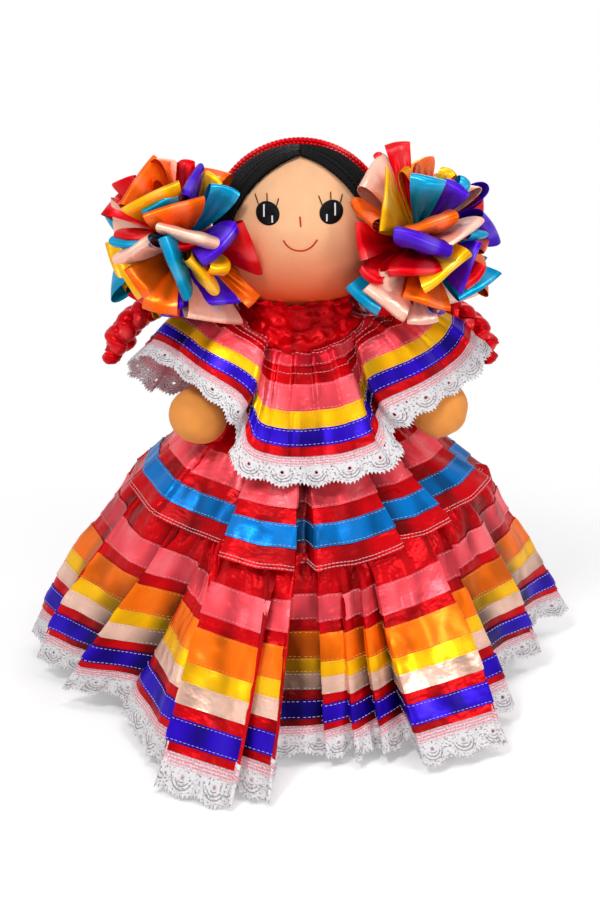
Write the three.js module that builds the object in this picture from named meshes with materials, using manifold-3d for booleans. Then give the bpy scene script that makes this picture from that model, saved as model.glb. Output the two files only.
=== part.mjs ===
// A rag doll in a tiered ribbon skirt. Millimetres, +Z up, it faces -Y and its own left is +X.
// The origin is on the floor, under the axis of the skirt.
import * as THREE from "three";
import { mergeVertices } from "three/addons/utils/BufferGeometryUtils.js";
import Module from "manifold-3d";

const wasm = await Module();
wasm.setup();

// Cloth
const GAP = 0.3; // between two pieces that touch
const CLOTH = 1.0;
const RIBBON = 0.6;

// Skirt: radius and height of the hem, of the seam between the tiers and of the waist
const HEM_R = 200;
const SEAM_R = 117;
const SEAM_Z = 136;
const WAIST_R = 40;
const WAIST_Z = 214;
// Fold lines of the lower tier: degrees from the front at the seam and at the hem, share of HEM_R
const LOWER_FOLDS = [
  [2, 0.5, 0.705], [5, 5.4, 0.7], [5.6, 6, 0.75], [12, 13, 0.695], [12.6, 13.8, 0.765],
  [18, 19.6, 0.71], [18.6, 20.4, 0.78], [22.6, 27, 0.735], [23.2, 27.6, 0.88], [34, 38, 0.905],
  [46.4, 46.9, 0.955], [47.6, 47.6, 0.79], [50, 55, 0.815], [53, 61, 0.85], [55, 62, 0.72],
  [62, 80, 0.745], [71, 87.5, 0.875], [73, 88.5, 0.77], [86, 99, 0.835], [98, 105, 1.0383],
];
const LOWER_FOLDS_RIGHT = [
  [-97, -96, 1], [-77.6, -86.2, 0.83], [-77, -85.5, 0.947], [-60, -77, 0.795], [-51.6, -70.8, 0.77],
  [-51, -70.2, 0.865], [-34, -52.8, 0.72], [-33, -37.8, 0.935], [-29.5, -28.6, 1.014],
  [-8, -11.9, 1.04], [-7.6, -11.5, 0.93], [-1.5, -5.3, 1], [-1.2, -4.6, 0.712],
];
const BACK_PLEATS = 10; // even ones, between the two lists
const BACK_FOLD = [0.88, 1.0229]; // share of HEM_R in a valley and on a crest
const SEAM_RELIEF = 0.25; // how much of the folds is left at the seam
const UPPER_PLEATS = 16;
const UPPER_PLEAT_DEPTH = 12; // at the seam
const PLEAT_FOLD = 0.22; // share of a pleat that the return fold takes
const WAISTBAND_HEIGHT = 8;

// Lower tier bands, as slant lengths from the seam down
const LOWER_GATHER = 25;
const LOWER_CORAL = 22;
const LOWER_GAP_1 = 9;
const LOWER_ORANGE = 22;
const LOWER_YELLOW = 12;
const LOWER_CREAM = 13.5;
const LOWER_GAP_2 = 8;
const LOWER_PURPLE = 15;
const HEM_LACE = 30; // up from the floor

// Upper tier bands, as slant lengths from the seam up
const UPPER_GAP_1 = 12;
const UPPER_TURQUOISE = 16;
const UPPER_GAP_2 = 11;
const UPPER_CORAL = 22;

// Torso, neck and legs
const TORSO_BOTTOM = 176;
const TORSO_TOP = 256;
const CHEST_W = 34; // half width
const CHEST_D = 31; // half depth
const BODICE_TOP = 243;
const NECK_R = 14;
const HIP_X = 19;
const LEG_R = 14;
const HIP_Z = TORSO_BOTTOM - LEG_R - 0.5;
const SHOE_LENGTH = 46;
const SHOE_HEIGHT = 20;
const SHOE_LIFT = 4; // the soles hang clear of the floor

// Arms: shoulder pivot, then the length to the middle of the hand
const SHOULDER_X = 46.8;
const SHOULDER_Z = 236;
const ARM_R = 10.5;
const ARM_LENGTH = 64;
const HAND_R = 19;
const ARM_AIM = { left: [38, -34, -36], right: [-24, -44, -37] };
const SLEEVE_LENGTH = 20;

// Head
const HEAD_Y = -6;
const HEAD_W = 53; // half width
const HEAD_D = 50; // half depth
const HEAD_H = 53; // half height
const NECK_LENGTH = 11;
const HEAD_Z = TORSO_TOP + NECK_LENGTH + HEAD_H;
const HAIR = 4;
const FACE_W = 41; // half width of the face opening in the hair
const FACE_H = 52;
const EYE_X = 20;
const EYE_RISE = 23; // above the middle of the head
const EYE_W = 15.5;
const EYE_H = 15;
const MOUTH_W = 22;
const CROWN_R = 3.5;

// Pompoms and braids
const POMPOM_CLEAR = 20; // from the hair to the middle of the pompom
const POMPOM_R = 52;
const LOOP_WIDTH = 17;
const LOOP_DEPTH = 14;
const HUB_R = 8;
const BRAID_R = 7.5;

// Collar and flounce
const COLLAR_BOTTOM = 252;
const COLLAR_TOP = HEAD_Z - 0.62 * HEAD_H;
const COLLAR_GATHERS = 22;
const YOKE_W = 48; // half width of the ring that the flounce hangs from
const YOKE_D = 41;
const FLOUNCE_FOLDS = 18;
const FLOUNCE_WAVE = 3.6;
const FLOUNCE_LACE = 23;
const FLOUNCE_LIFT = 0.5; // of the ribbons off the gathers
const SIDE_R = 114; // of the flounce's edge over the arms
const SIDE_Z = 230;
// The flounce's edge by angle from the front: degrees, radius, height
const FLOUNCE_EDGE = [
  [0, 90, 177],
  [25, 88, 181],
  [40, 93, 196],
  [55, 105, 215],
  [65, 110, 224],
  [75, 113, 228],
  [90, SIDE_R, SIDE_Z],
  [105, 112, 227],
  [125, 103, 214],
  [150, 92, 196],
  [180, 90, 190],
];
// Its bands, as shares of the way down
const FLOUNCE_BANDS = {
  flounce_upper_coral: [0.03, 0.16],
  flounce_coral: [0.25, 0.45],
  flounce_yellow: [0.45, 0.575],
  flounce_purple: [0.575, 0.69],
};

const COLOURS = {
  red: 0xa80f1c,
  coral: 0xe0453f,
  orange: 0xf0781e,
  yellow: 0xf5c21c,
  cream: 0xe8cdb0,
  purple: 0x4a3a9c,
  turquoise: 0x1f93b8,
  peach: 0xf0b8a8,
  white: 0xf6f2ee,
  skin: 0xf0bf9a,
  hand: 0xe8a872,
  black: 0x14121a,
};

const doll = new THREE.Group();
doll.name = "rag_doll";

function add(name, geometry, colour, roughness = 0.7) {
  const material = new THREE.MeshStandardMaterial({ color: COLOURS[colour], roughness });
  const mesh = new THREE.Mesh(outward(geometry), material);
  mesh.name = name;
  doll.add(mesh);
}

// Turns a closed geometry so that its faces point outwards.
function outward(geometry) {
  const p = geometry.attributes.position;
  const index = geometry.index.array;
  const [a, b, c] = [new THREE.Vector3(), new THREE.Vector3(), new THREE.Vector3()];
  let volume = 0;
  for (let i = 0; i < index.length; i += 3) {
    a.fromBufferAttribute(p, index[i]);
    b.fromBufferAttribute(p, index[i + 1]);
    c.fromBufferAttribute(p, index[i + 2]);
    volume += a.dot(b.cross(c));
  }
  if (volume < 0)
    for (let i = 0; i < index.length; i += 3)
      [index[i + 1], index[i + 2]] = [index[i + 2], index[i + 1]];
  geometry.computeVertexNormals();
  return geometry;
}

function indexed(points, faces) {
  const geometry = new THREE.BufferGeometry().setFromPoints(points);
  geometry.setIndex(faces);
  return geometry;
}

// Skin over rings of equal length: a tube with capped ends, or a closed ring of rings. The way back
// of a closed one is cut along the same diagonals, so that layers of cloth lie parallel.
function loft(rings, closed = false) {
  const n = rings[0].length;
  const points = rings.flat();
  const faces = [];
  const spans = closed ? rings.length : rings.length - 1;
  for (let i = 0; i < spans; i++) {
    const a = i * n;
    const b = ((i + 1) % rings.length) * n;
    const back = closed && i >= rings.length / 2;
    for (let j = 0; j < n; j++) {
      const k = (j + 1) % n;
      if (back) faces.push(a + j, a + k, b + j, a + k, b + k, b + j);
      else faces.push(a + j, a + k, b + k, a + j, b + k, b + j);
    }
  }
  if (!closed) {
    for (const [start, flip] of [[0, true], [(rings.length - 1) * n, false]]) {
      const ring = points.slice(start, start + n);
      const middle = ring.reduce((s, p) => s.add(p), new THREE.Vector3()).divideScalar(n);
      const m = points.push(middle) - 1;
      for (let j = 0; j < n; j++) {
        const [p, q] = [start + j, start + ((j + 1) % n)];
        faces.push(m, flip ? q : p, flip ? p : q);
      }
    }
  }
  return indexed(points, faces);
}

// A point by angle from the front towards the doll's left.
function around(degrees, radius, z, depth = radius) {
  const t = THREE.MathUtils.degToRad(degrees);
  return new THREE.Vector3(radius * Math.sin(t), -depth * Math.cos(t), z);
}

// Moves a level ring outwards by a set distance, square to its sides.
function offsetRing(ring, distance) {
  const n = ring.length;
  const side = (p, q) => new THREE.Vector2(-(q.y - p.y), q.x - p.x).normalize().negate();
  return ring.map((p, j) => {
    const before = side(ring[(j + n - 1) % n], p);
    const after = side(p, ring[(j + 1) % n]);
    const way = before.clone().add(after).normalize();
    const reach = distance / Math.max(0.35, way.dot(before));
    return new THREE.Vector3(p.x + way.x * reach, p.y + way.y * reach, p.z);
  });
}

// A band of cloth between two levels: its outer and inner faces are offsets of the same rings.
function band(levels, outer, inner) {
  const outside = levels.map((ring) => offsetRing(ring, outer));
  const inside = levels.map((ring) => offsetRing(ring, inner)).reverse();
  return loft([...outside, ...inside], true);
}

// Fold lines of the upper tier: degrees and share of the radius. The proud edges face the front
// and the back.
function pleatLines(count, depthShare) {
  const pitch = 360 / count;
  const half = [];
  for (let k = 0; k < count / 2; k++) {
    const front = k < count / 4;
    half.push([k * pitch, 1 - depthShare]);
    half.push([(k + (front ? PLEAT_FOLD : 1 - PLEAT_FOLD)) * pitch, 1]);
  }
  const mirrored = half.slice(1).reverse().map(([angle, share]) => [360 - angle, share]);
  return [...half, [180, 1 - depthShare], ...mirrored];
}

// Fold lines of the lower tier all the way round: those of the lists, with even ones at the back.
function lowerFolds() {
  const [first, last] = [LOWER_FOLDS.at(-1), LOWER_FOLDS_RIGHT[0]];
  const span = (k) => (share) => first[k] + (last[k] + 360 - first[k]) * (share / BACK_PLEATS);
  const [seam, hem] = [span(0), span(1)];
  const back = [];
  for (let k = 0; k < BACK_PLEATS; k++) {
    if (k) back.push([seam(k), hem(k), BACK_FOLD[1]]);
    back.push([seam(k + 0.12), hem(k + 0.12), BACK_FOLD[0]]);
  }
  return [...LOWER_FOLDS, ...back, ...LOWER_FOLDS_RIGHT];
}

// One level of a pleated tier, a set slant length below its top.
function tierRing(tier, slant) {
  const t = slant / tier.slant;
  const { lerp } = THREE.MathUtils;
  const z = lerp(tier.topZ, tier.bottomZ, t);
  return tier.lines.map(([top, bottom]) => around(lerp(top[0], bottom[0], t), lerp(top[1], bottom[1], t), z));
}

function lowerTier() {
  const lines = lowerFolds().map(([seam, hem, share]) => {
    const seamR = SEAM_R * (1 + SEAM_RELIEF * (share - 0.9));
    return [[seam, seamR], [hem, HEM_R * share]];
  });
  return { topZ: SEAM_Z, bottomZ: 0, slant: Math.hypot(HEM_R - SEAM_R, SEAM_Z), lines };
}

function upperTier() {
  const [bottomR, bottomZ] = [SEAM_R + 3, SEAM_Z + GAP];
  const lines = pleatLines(UPPER_PLEATS, UPPER_PLEAT_DEPTH / bottomR).map(([angle, share]) =>
    [[angle, WAIST_R * share], [angle, bottomR * share]]);
  return { topZ: WAIST_Z, bottomZ, slant: Math.hypot(bottomR - WAIST_R, WAIST_Z - bottomZ), lines };
}

// Ribbons down a tier: [name, colour, width], or a bare gap as a number.
function addRibbons(tier, start, ribbons) {
  let at = start;
  for (const item of ribbons) {
    if (typeof item === "number") {
      at += item;
      continue;
    }
    const [name, colour, width] = item;
    const levels = [tierRing(tier, at + GAP / 2), tierRing(tier, at + width - GAP / 2)];
    add(name, band(levels, GAP + RIBBON, GAP), colour, 0.4);
    at += width;
  }
}

function buildSkirt() {
  const lower = lowerTier();
  const clothEnd = lower.slant - HEM_LACE + 4;
  const widths = [LOWER_GATHER, LOWER_CORAL, LOWER_GAP_1, LOWER_ORANGE, LOWER_YELLOW, LOWER_CREAM,
    LOWER_GAP_2, LOWER_PURPLE];
  let at = 0;
  const levels = [0, ...widths.map((width) => (at += width)), clothEnd].map((slant) => tierRing(lower, slant));
  add("skirt_lower_tier", band(levels, 0, -CLOTH), "red", 0.45);
  addRibbons(lower, LOWER_GATHER, [
    ["lower_coral_ribbon", "coral", LOWER_CORAL],
    LOWER_GAP_1,
    ["lower_orange_ribbon", "orange", LOWER_ORANGE],
    ["lower_yellow_ribbon", "yellow", LOWER_YELLOW],
    ["lower_cream_ribbon", "cream", LOWER_CREAM],
    LOWER_GAP_2,
    ["lower_purple_ribbon", "purple", LOWER_PURPLE],
  ]);
  const laceTop = lower.slant - HEM_LACE;
  const behind = -CLOTH - GAP;
  const lace = [laceTop, clothEnd, lower.slant].map((slant) => tierRing(lower, slant));
  add("hem_lace", band(lace, behind, behind - CLOTH), "white", 0.85);

  const upper = upperTier();
  const whole = [tierRing(upper, 0), tierRing(upper, upper.slant)];
  add("skirt_upper_tier", band(whole, 0, -CLOTH), "red", 0.45);
  const bands = UPPER_CORAL + UPPER_GAP_2 + UPPER_TURQUOISE + UPPER_GAP_1;
  addRibbons(upper, upper.slant - bands, [
    ["upper_coral_ribbon", "coral", UPPER_CORAL],
    UPPER_GAP_2,
    ["upper_turquoise_ribbon", "turquoise", UPPER_TURQUOISE],
  ]);

  const rim = (r, z) => Array.from({ length: 32 }, (_, j) => around(j * 11.25, r, z));
  const onBodice = 2 * GAP + CLOTH;
  const waist = [WAIST_Z + GAP, WAIST_Z + WAISTBAND_HEIGHT].map((z) => torsoRim(z, onBodice));
  add("waistband", band(waist, 2, 0), "red", 0.45);
  const hips = torsoRim(WAIST_Z - 8, GAP + CLOTH);
  add("petticoat", band([hips, rim(HEM_R * 0.62, 20)], 0, -CLOTH), "white", 0.9);
}

// A level ring a set distance off the torso.
function torsoRim(z, out) {
  const [a, b] = [CHEST_W * 1.02 + out, CHEST_D * 1.05 + out];
  return Array.from({ length: 32 }, (_, j) => around(j * 11.25, a, z, b));
}

// A stuffed form from stations along an axis: [distance, half width, half depth].
function stuffed(stations, segments = 16) {
  const rings = stations.map(([z, a, b = a]) =>
    Array.from({ length: segments }, (_, j) => around((j * 360) / segments, a, z, b)),
  );
  return loft(rings);
}

function buildBody() {
  const height = TORSO_TOP - TORSO_BOTTOM;
  const up = (share) => TORSO_BOTTOM + share * height;
  const torso = [
    [up(0), CHEST_W * 0.8, CHEST_D * 0.75],
    [up(0.1), CHEST_W, CHEST_D],
    [up(0.3), CHEST_W * 1.02, CHEST_D * 1.05],
    [up(0.6), CHEST_W, CHEST_D],
    [BODICE_TOP, CHEST_W, CHEST_D],
    [up(0.93), CHEST_W * 0.7, CHEST_D * 0.75],
    [TORSO_TOP, NECK_R, NECK_R],
  ];
  add("torso", stuffed(torso), "skin", 0.9);

  const yoke = Array.from({ length: 32 }, (_, j) =>
    around(j * 11.25, YOKE_W - 1.8, COLLAR_BOTTOM - 1.4, YOKE_D - 1.8));
  const off = GAP + CLOTH;
  const bodice = [yoke, torsoRim(BODICE_TOP, off), torsoRim(WAIST_Z + 1, off)];
  add("bodice", band(bodice, 0, -CLOTH), "red", 0.45);

  const neckTop = HEAD_Z - HEAD_H;
  const neck = [
    [TORSO_TOP + GAP, NECK_R],
    [neckTop - 5, NECK_R],
    [neckTop - 1.5, NECK_R * 0.75],
    [neckTop - GAP, NECK_R * 0.3],
  ];
  add("neck", stuffed(neck), "skin", 0.9);
}

function buildLegs() {
  for (const [side, sign] of [["left", 1], ["right", -1]]) {
    const ankle = SHOE_LIFT + SHOE_HEIGHT + GAP;
    const leg = [
      [ankle, LEG_R * 0.8],
      [ankle + 30, LEG_R * 0.9],
      [HIP_Z - 40, LEG_R],
      [HIP_Z, LEG_R * 1.05],
      [HIP_Z + LEG_R * 0.7, LEG_R * 0.75],
      [HIP_Z + LEG_R, LEG_R * 0.2],
    ];
    add(`${side}_leg`, stuffed(leg, 14).translate(sign * HIP_X, 0, 0), "skin", 0.9);
    const sole = SHOE_LENGTH / 2;
    const shoe = [
      [SHOE_LIFT, LEG_R * 0.85, sole * 0.92],
      [SHOE_LIFT + SHOE_HEIGHT * 0.3, LEG_R, sole],
      [SHOE_LIFT + SHOE_HEIGHT * 0.7, LEG_R * 0.95, sole * 0.85],
      [SHOE_LIFT + SHOE_HEIGHT, LEG_R * 0.82, sole * 0.55],
    ];
    add(`${side}_shoe`, stuffed(shoe, 14).translate(sign * HIP_X, -8, 0), "black", 0.6);
  }
}

function buildArms() {
  for (const side of ["left", "right"]) {
    const sign = side === "left" ? 1 : -1;
    const aim = new THREE.Vector3(...ARM_AIM[side]).normalize();
    const turn = new THREE.Quaternion().setFromUnitVectors(new THREE.Vector3(0, 0, 1), aim);
    const place = new THREE.Matrix4().compose(
      new THREE.Vector3(sign * SHOULDER_X, 0, SHOULDER_Z), turn, new THREE.Vector3(1, 1, 1));
    const wrist = ARM_LENGTH - HAND_R;
    const arm = [
      [-ARM_R * 0.95, ARM_R * 0.25],
      [-ARM_R * 0.6, ARM_R * 0.8],
      [0, ARM_R],
      [wrist - 2, ARM_R * 0.95],
      [wrist + HAND_R * 0.4, HAND_R * 0.85],
      [ARM_LENGTH, HAND_R],
      [ARM_LENGTH + HAND_R * 0.6, HAND_R * 0.8],
      [ARM_LENGTH + HAND_R * 0.95, HAND_R * 0.28],
    ];
    add(`${side}_arm`, stuffed(arm).applyMatrix4(place), "hand", 0.9);
    const cuff = (z, r) => Array.from({ length: 16 }, (_, j) => around(j * 22.5, r, z));
    const start = ARM_R * 1.1;
    const sleeve = [cuff(start, ARM_R + GAP + CLOTH), cuff(start + SLEEVE_LENGTH, ARM_R + 2)];
    add(`${side}_sleeve`, band(sleeve, 0, -CLOTH).applyMatrix4(place), "red", 0.45);
  }
}

function toSolid(geometry) {
  const g = mergeVertices(outward(geometry), 1e-4);
  return new wasm.Manifold(new wasm.Mesh({
    numProp: 3,
    vertProperties: g.attributes.position.array,
    triVerts: new Uint32Array(g.index.array),
  }));
}

function toGeometry(solid) {
  const mesh = solid.getMesh();
  const geometry = new THREE.BufferGeometry();
  geometry.setAttribute("position", new THREE.BufferAttribute(mesh.vertProperties, mesh.numProp));
  geometry.setIndex(new THREE.BufferAttribute(mesh.triVerts, 1));
  return geometry;
}

function headBall(extra) {
  return wasm.Manifold.sphere(1, 28)
    .scale([HEAD_W + extra, HEAD_D + extra, HEAD_H + extra])
    .translate([0, HEAD_Y, HEAD_Z]);
}

// The front of the head at a width and a height above its middle.
function onFace(x, rise, out) {
  const share = 1 - (x / HEAD_W) ** 2 - (rise / HEAD_H) ** 2;
  const p = new THREE.Vector3(x, -HEAD_D * Math.sqrt(share), rise);
  const normal = new THREE.Vector3(p.x / HEAD_W ** 2, p.y / HEAD_D ** 2, p.z / HEAD_H ** 2);
  p.addScaledVector(normal.normalize(), out);
  return p.add(new THREE.Vector3(0, HEAD_Y, HEAD_Z));
}

// A thread along points on the face.
function thread(points, radius) {
  const curve = new THREE.CatmullRomCurve3(points.map(([x, rise]) => onFace(x, rise, GAP + radius)));
  return tube(curve, points.length * 2, () => radius, 6);
}

// A capped tube with a radius by share of its length.
function tube(curve, steps, radius, segments) {
  const frames = curve.computeFrenetFrames(steps, false);
  const rings = [];
  for (let i = 0; i <= steps; i++) {
    const middle = curve.getPointAt(i / steps);
    const r = radius(i / steps);
    rings.push(Array.from({ length: segments }, (_, j) => {
      const t = (j * 2 * Math.PI) / segments;
      return middle.clone()
        .addScaledVector(frames.normals[i], r * Math.cos(t))
        .addScaledVector(frames.binormals[i], r * Math.sin(t));
    }));
  }
  return loft(rings);
}

function buildHead() {
  add("head", toGeometry(headBall(0)), "skin", 0.9);

  const face = wasm.Manifold.cylinder(110, 1, 1, 40).scale([FACE_W, FACE_H, 1])
    .rotate([90, 0, 0]).translate([0, HEAD_Y - 8, HEAD_Z]);
  const under = wasm.Manifold.cube([2 * FACE_W, 110, HEAD_H * 2])
    .translate([-FACE_W, HEAD_Y - 118, HEAD_Z - HEAD_H * 2]);
  const low = wasm.Manifold.cube([400, 400, 100], true).translate([0, 0, COLLAR_TOP + 4 - 50]);
  const hair = headBall(HAIR).subtract(headBall(GAP)).subtract(face.add(under)).subtract(low);
  add("hair", toGeometry(hair), "black", 0.95);

  for (const [side, sign] of [["left", 1], ["right", -1]]) {
    const oval = (size, out) => Array.from({ length: 14 }, (_, j) => {
      const t = (j * 2 * Math.PI) / 14;
      const x = sign * EYE_X + (size * EYE_W * Math.cos(t)) / 2;
      return onFace(x, EYE_RISE + (size * EYE_H * Math.sin(t)) / 2, out);
    });
    add(`${side}_eye`, loft([oval(0.05, GAP), oval(1, GAP), oval(0.95, 1), oval(0.05, 1.4)]), "black", 0.5);
  }
  add("nose_stitch", thread([[0, 22.5], [0.2, 19.7], [0.3, 17]], 0.6), "red", 0.5);
  const half = MOUTH_W / 2;
  const smile = [[-half, 8], [-half * 0.7, 4.6], [0, 1.8], [half * 0.7, 4.6], [half, 8]];
  add("mouth_stitch", thread(smile, 0.6), "red", 0.5);

  const sit = HAIR + CROWN_R + 0.8;
  const plane = 18;
  const share = Math.sqrt(1 - (plane / (HEAD_D + HAIR)) ** 2);
  const arc = [-58, -39, -20, 0, 20, 39, 58].map((degrees) => {
    const t = THREE.MathUtils.degToRad(degrees);
    const [a, b] = [(HEAD_W + HAIR) * share - HAIR + sit, (HEAD_H + HAIR) * share - HAIR + sit];
    return new THREE.Vector3(a * Math.sin(t), HEAD_Y + plane, HEAD_Z + b * Math.cos(t));
  });
  add("crown_braid", tube(new THREE.CatmullRomCurve3(arc), 18, () => CROWN_R, 7), "red", 0.5);
}

// A ribbon loop that leaves the hub along `aim`, turns over and comes back.
function loop(aim, across, length, width) {
  const over = new THREE.Vector3().crossVectors(across, aim).normalize();
  const steps = 5;
  const root = HUB_R * 0.7;
  const at = (s) => {
    const out = root + (length - root) * Math.sin(Math.PI * s);
    const lift = -(LOOP_DEPTH / 2) * Math.cos(Math.PI * s) * (out / length);
    return { out, point: aim.clone().multiplyScalar(out).addScaledVector(over, lift) };
  };
  const rings = [];
  for (let i = 0; i <= steps; i++) {
    const s = i / steps;
    const { out, point } = at(s);
    const tangent = at(s + 0.01).point.sub(at(s - 0.01).point).normalize();
    const normal = new THREE.Vector3().crossVectors(tangent, across).normalize();
    const w = (width / 2) * (out / length);
    rings.push([[-w, -0.5], [w, -0.5], [w, 0.5], [-w, 0.5]].map(([u, v]) =>
      point.clone().addScaledVector(across, u).addScaledVector(normal, v * 0.9)));
  }
  return loft(rings);
}

// One colour of a pompom: a sixth of the hub with the loops that spring from it.
function pompomSixth(start) {
  const solids = [];
  const edge = (degrees, r, z) => {
    const t = THREE.MathUtils.degToRad(degrees);
    return new THREE.Vector3(r * Math.cos(t), r * Math.sin(t), z);
  };
  const slice = (z) => [edge(start, 0.6, z), edge(start - 27, HUB_R, z), edge(start, HUB_R, z),
    edge(start + 27, HUB_R, z)];
  solids.push(toSolid(loft([slice(-HUB_R), slice(HUB_R)])));
  const loops = [[23, 0, 0.98, 0.7], [57, -14.5, 1, 1], [57, 14.5, 0.96, 1], [93, -14.5, 0.98, 1.1],
    [93, 14.5, 1.04, 1.1]];
  for (const [tip, aside, share, wide] of loops) {
    const t = THREE.MathUtils.degToRad(tip);
    const a = THREE.MathUtils.degToRad(start + aside);
    const aim = new THREE.Vector3(Math.sin(t) * Math.cos(a), Math.sin(t) * Math.sin(a), Math.cos(t));
    const across = new THREE.Vector3(-Math.sin(a), Math.cos(a), 0);
    solids.push(toSolid(loop(aim, across, POMPOM_R * share, LOOP_WIDTH * wide)));
  }
  return wasm.Manifold.union(solids);
}

function buildPompoms() {
  const colours = ["red", "orange", "yellow", "turquoise", "purple", "peach"];
  for (const [side, sign] of [["left", 1], ["right", -1]]) {
    const axis = new THREE.Vector3(sign * 0.96, -0.28, 0).normalize();
    const surface = 1 / Math.hypot(
      axis.x / (HEAD_W + HAIR), axis.y / (HEAD_D + HAIR), axis.z / (HEAD_H + HAIR));
    const middle = new THREE.Vector3(0, HEAD_Y, HEAD_Z).addScaledVector(axis, surface + POMPOM_CLEAR);
    const turn = new THREE.Quaternion().setFromUnitVectors(new THREE.Vector3(0, 0, 1), axis);
    const place = new THREE.Matrix4().compose(middle, turn, new THREE.Vector3(1, 1, 1));
    colours.forEach((colour, k) => {
      const start = 60 * k + (sign > 0 ? 20 : 50);
      add(`${side}_pompom_${colour}`, toGeometry(pompomSixth(start)).applyMatrix4(place), colour, 0.4);
    });
    const tie = stuffed([[-POMPOM_CLEAR + 0.4, HUB_R], [-HUB_R - GAP, HUB_R * 0.8]], 12);
    add(`${side}_pompom_tie`, tie.applyMatrix4(place), "red", 0.6);
  }
}

function buildBraids() {
  for (const [side, sign] of [["left", 1], ["right", -1]]) {
    const path = [
      [HEAD_W - 4, 24, HEAD_Z - 17],
      [HEAD_W + 7, 27, HEAD_Z - 37],
      [YOKE_W + 28, 29, COLLAR_BOTTOM + 10],
      [SIDE_R - 18, 26, SIDE_Z + 18],
      [SIDE_R - 1, 22, SIDE_Z + 11],
      [SIDE_R + 12, 17, SIDE_Z - 4],
    ];
    const curve = new THREE.CatmullRomCurve3(path.map(([x, y, z]) => new THREE.Vector3(sign * x, y, z)));
    const radius = (s) => BRAID_R * (s < 0.06 || s > 0.94 ? 0.7 : 1 + 0.12 * Math.sin(s * 28));
    add(`${side}_braid`, tube(curve, 16, radius, 8), "red", 0.45);
  }
}

// Radius and height of the flounce's edge at an angle from the front.
function flounceEdge(degrees) {
  const a = degrees > 180 ? 360 - degrees : degrees;
  const k = FLOUNCE_EDGE.findIndex(([angle], i) => i > 0 && a <= angle);
  const [from, to] = [FLOUNCE_EDGE[k - 1], FLOUNCE_EDGE[k]];
  const t = THREE.MathUtils.smoothstep(a, from[0], to[0]) * 0.5 + ((a - from[0]) / (to[0] - from[0])) * 0.5;
  return [from[1] + (to[1] - from[1]) * t, from[2] + (to[2] - from[2]) * t];
}

// One level of the flounce by share of the way down, with gathers that deepen towards the edge.
function flounceRing(share, depth = FLOUNCE_WAVE) {
  const n = 2 * FLOUNCE_FOLDS;
  return Array.from({ length: n }, (_, j) => {
    const angle = (j * 360) / n;
    const [r, z] = flounceEdge(angle);
    const wave = (j % 2 ? 1 : -1) * depth * (0.25 + 0.75 * share);
    const top = around(angle, YOKE_W, COLLAR_BOTTOM - GAP, YOKE_D);
    const edge = around(angle, r, z);
    const out = around(angle, wave, wave * 0.5 * share);
    return top.lerp(edge, share).add(out);
  });
}

// A piece of the flounce between two shares, lifted off it square to its slope.
function flounceBand(shares, outer, inner) {
  const smooth = shares.map((share) => [flounceRing(share - 0.02, 0), flounceRing(share + 0.02, 0)]);
  const face = (lift) => shares.map((share, i) => flounceRing(share).map((p, j, ring) => {
    const [above, below] = smooth[i];
    const along = below[(j + 1) % ring.length].clone().sub(below[(j + ring.length - 1) % ring.length]);
    const normal = along.cross(below[j].clone().sub(above[j])).normalize();
    return p.addScaledVector(normal, normal.z < 0 ? -lift : lift);
  }));
  return loft([...face(outer), ...face(inner).reverse()], true);
}

function buildFlounce() {
  const slant = 92;
  const laceTop = 1 - FLOUNCE_LACE / slant;
  const levels = new Set([0, ...Object.values(FLOUNCE_BANDS).flat(), laceTop + 0.03]);
  add("flounce", flounceBand([...levels], 0, -CLOTH), "red", 0.45);
  for (const [name, [from, to]] of Object.entries(FLOUNCE_BANDS)) {
    const colour = name.split("_").pop();
    const piece = flounceBand([from + 0.002, to - 0.002], FLOUNCE_LIFT + RIBBON, FLOUNCE_LIFT);
    add(`${name}_ribbon`, piece, colour, 0.4);
  }
  const under = -CLOTH - GAP - 0.3;
  add("flounce_lace", flounceBand([laceTop, laceTop + 0.03, 1], under, under - CLOTH), "white", 0.85);

  const n = 2 * COLLAR_GATHERS;
  const ring = (share) => Array.from({ length: n }, (_, j) => {
    const wave = (j % 2 ? 1 : -1) * (0.8 + share);
    const [a, b] = [YOKE_W + (HEAD_W * 0.86 - YOKE_W) * share, YOKE_D + (HEAD_D * 0.87 - YOKE_D) * share];
    const p = around((j * 360) / n, a + wave, COLLAR_BOTTOM + (COLLAR_TOP - COLLAR_BOTTOM) * share, b + wave);
    p.y += HEAD_Y * share;
    return p;
  });
  add("collar", band([ring(0), ring(1)], 0, -CLOTH), "red", 0.45);
}

buildSkirt();
buildBody();
buildLegs();
buildArms();
buildHead();
buildPompoms();
buildBraids();
buildFlounce();

export default doll;
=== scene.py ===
"""A rag doll in a tiered ribbon skirt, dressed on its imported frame.

Lengths are millimetres until a mesh is made. The doll faces -Y and its own left is +X.
"""
import math

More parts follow.
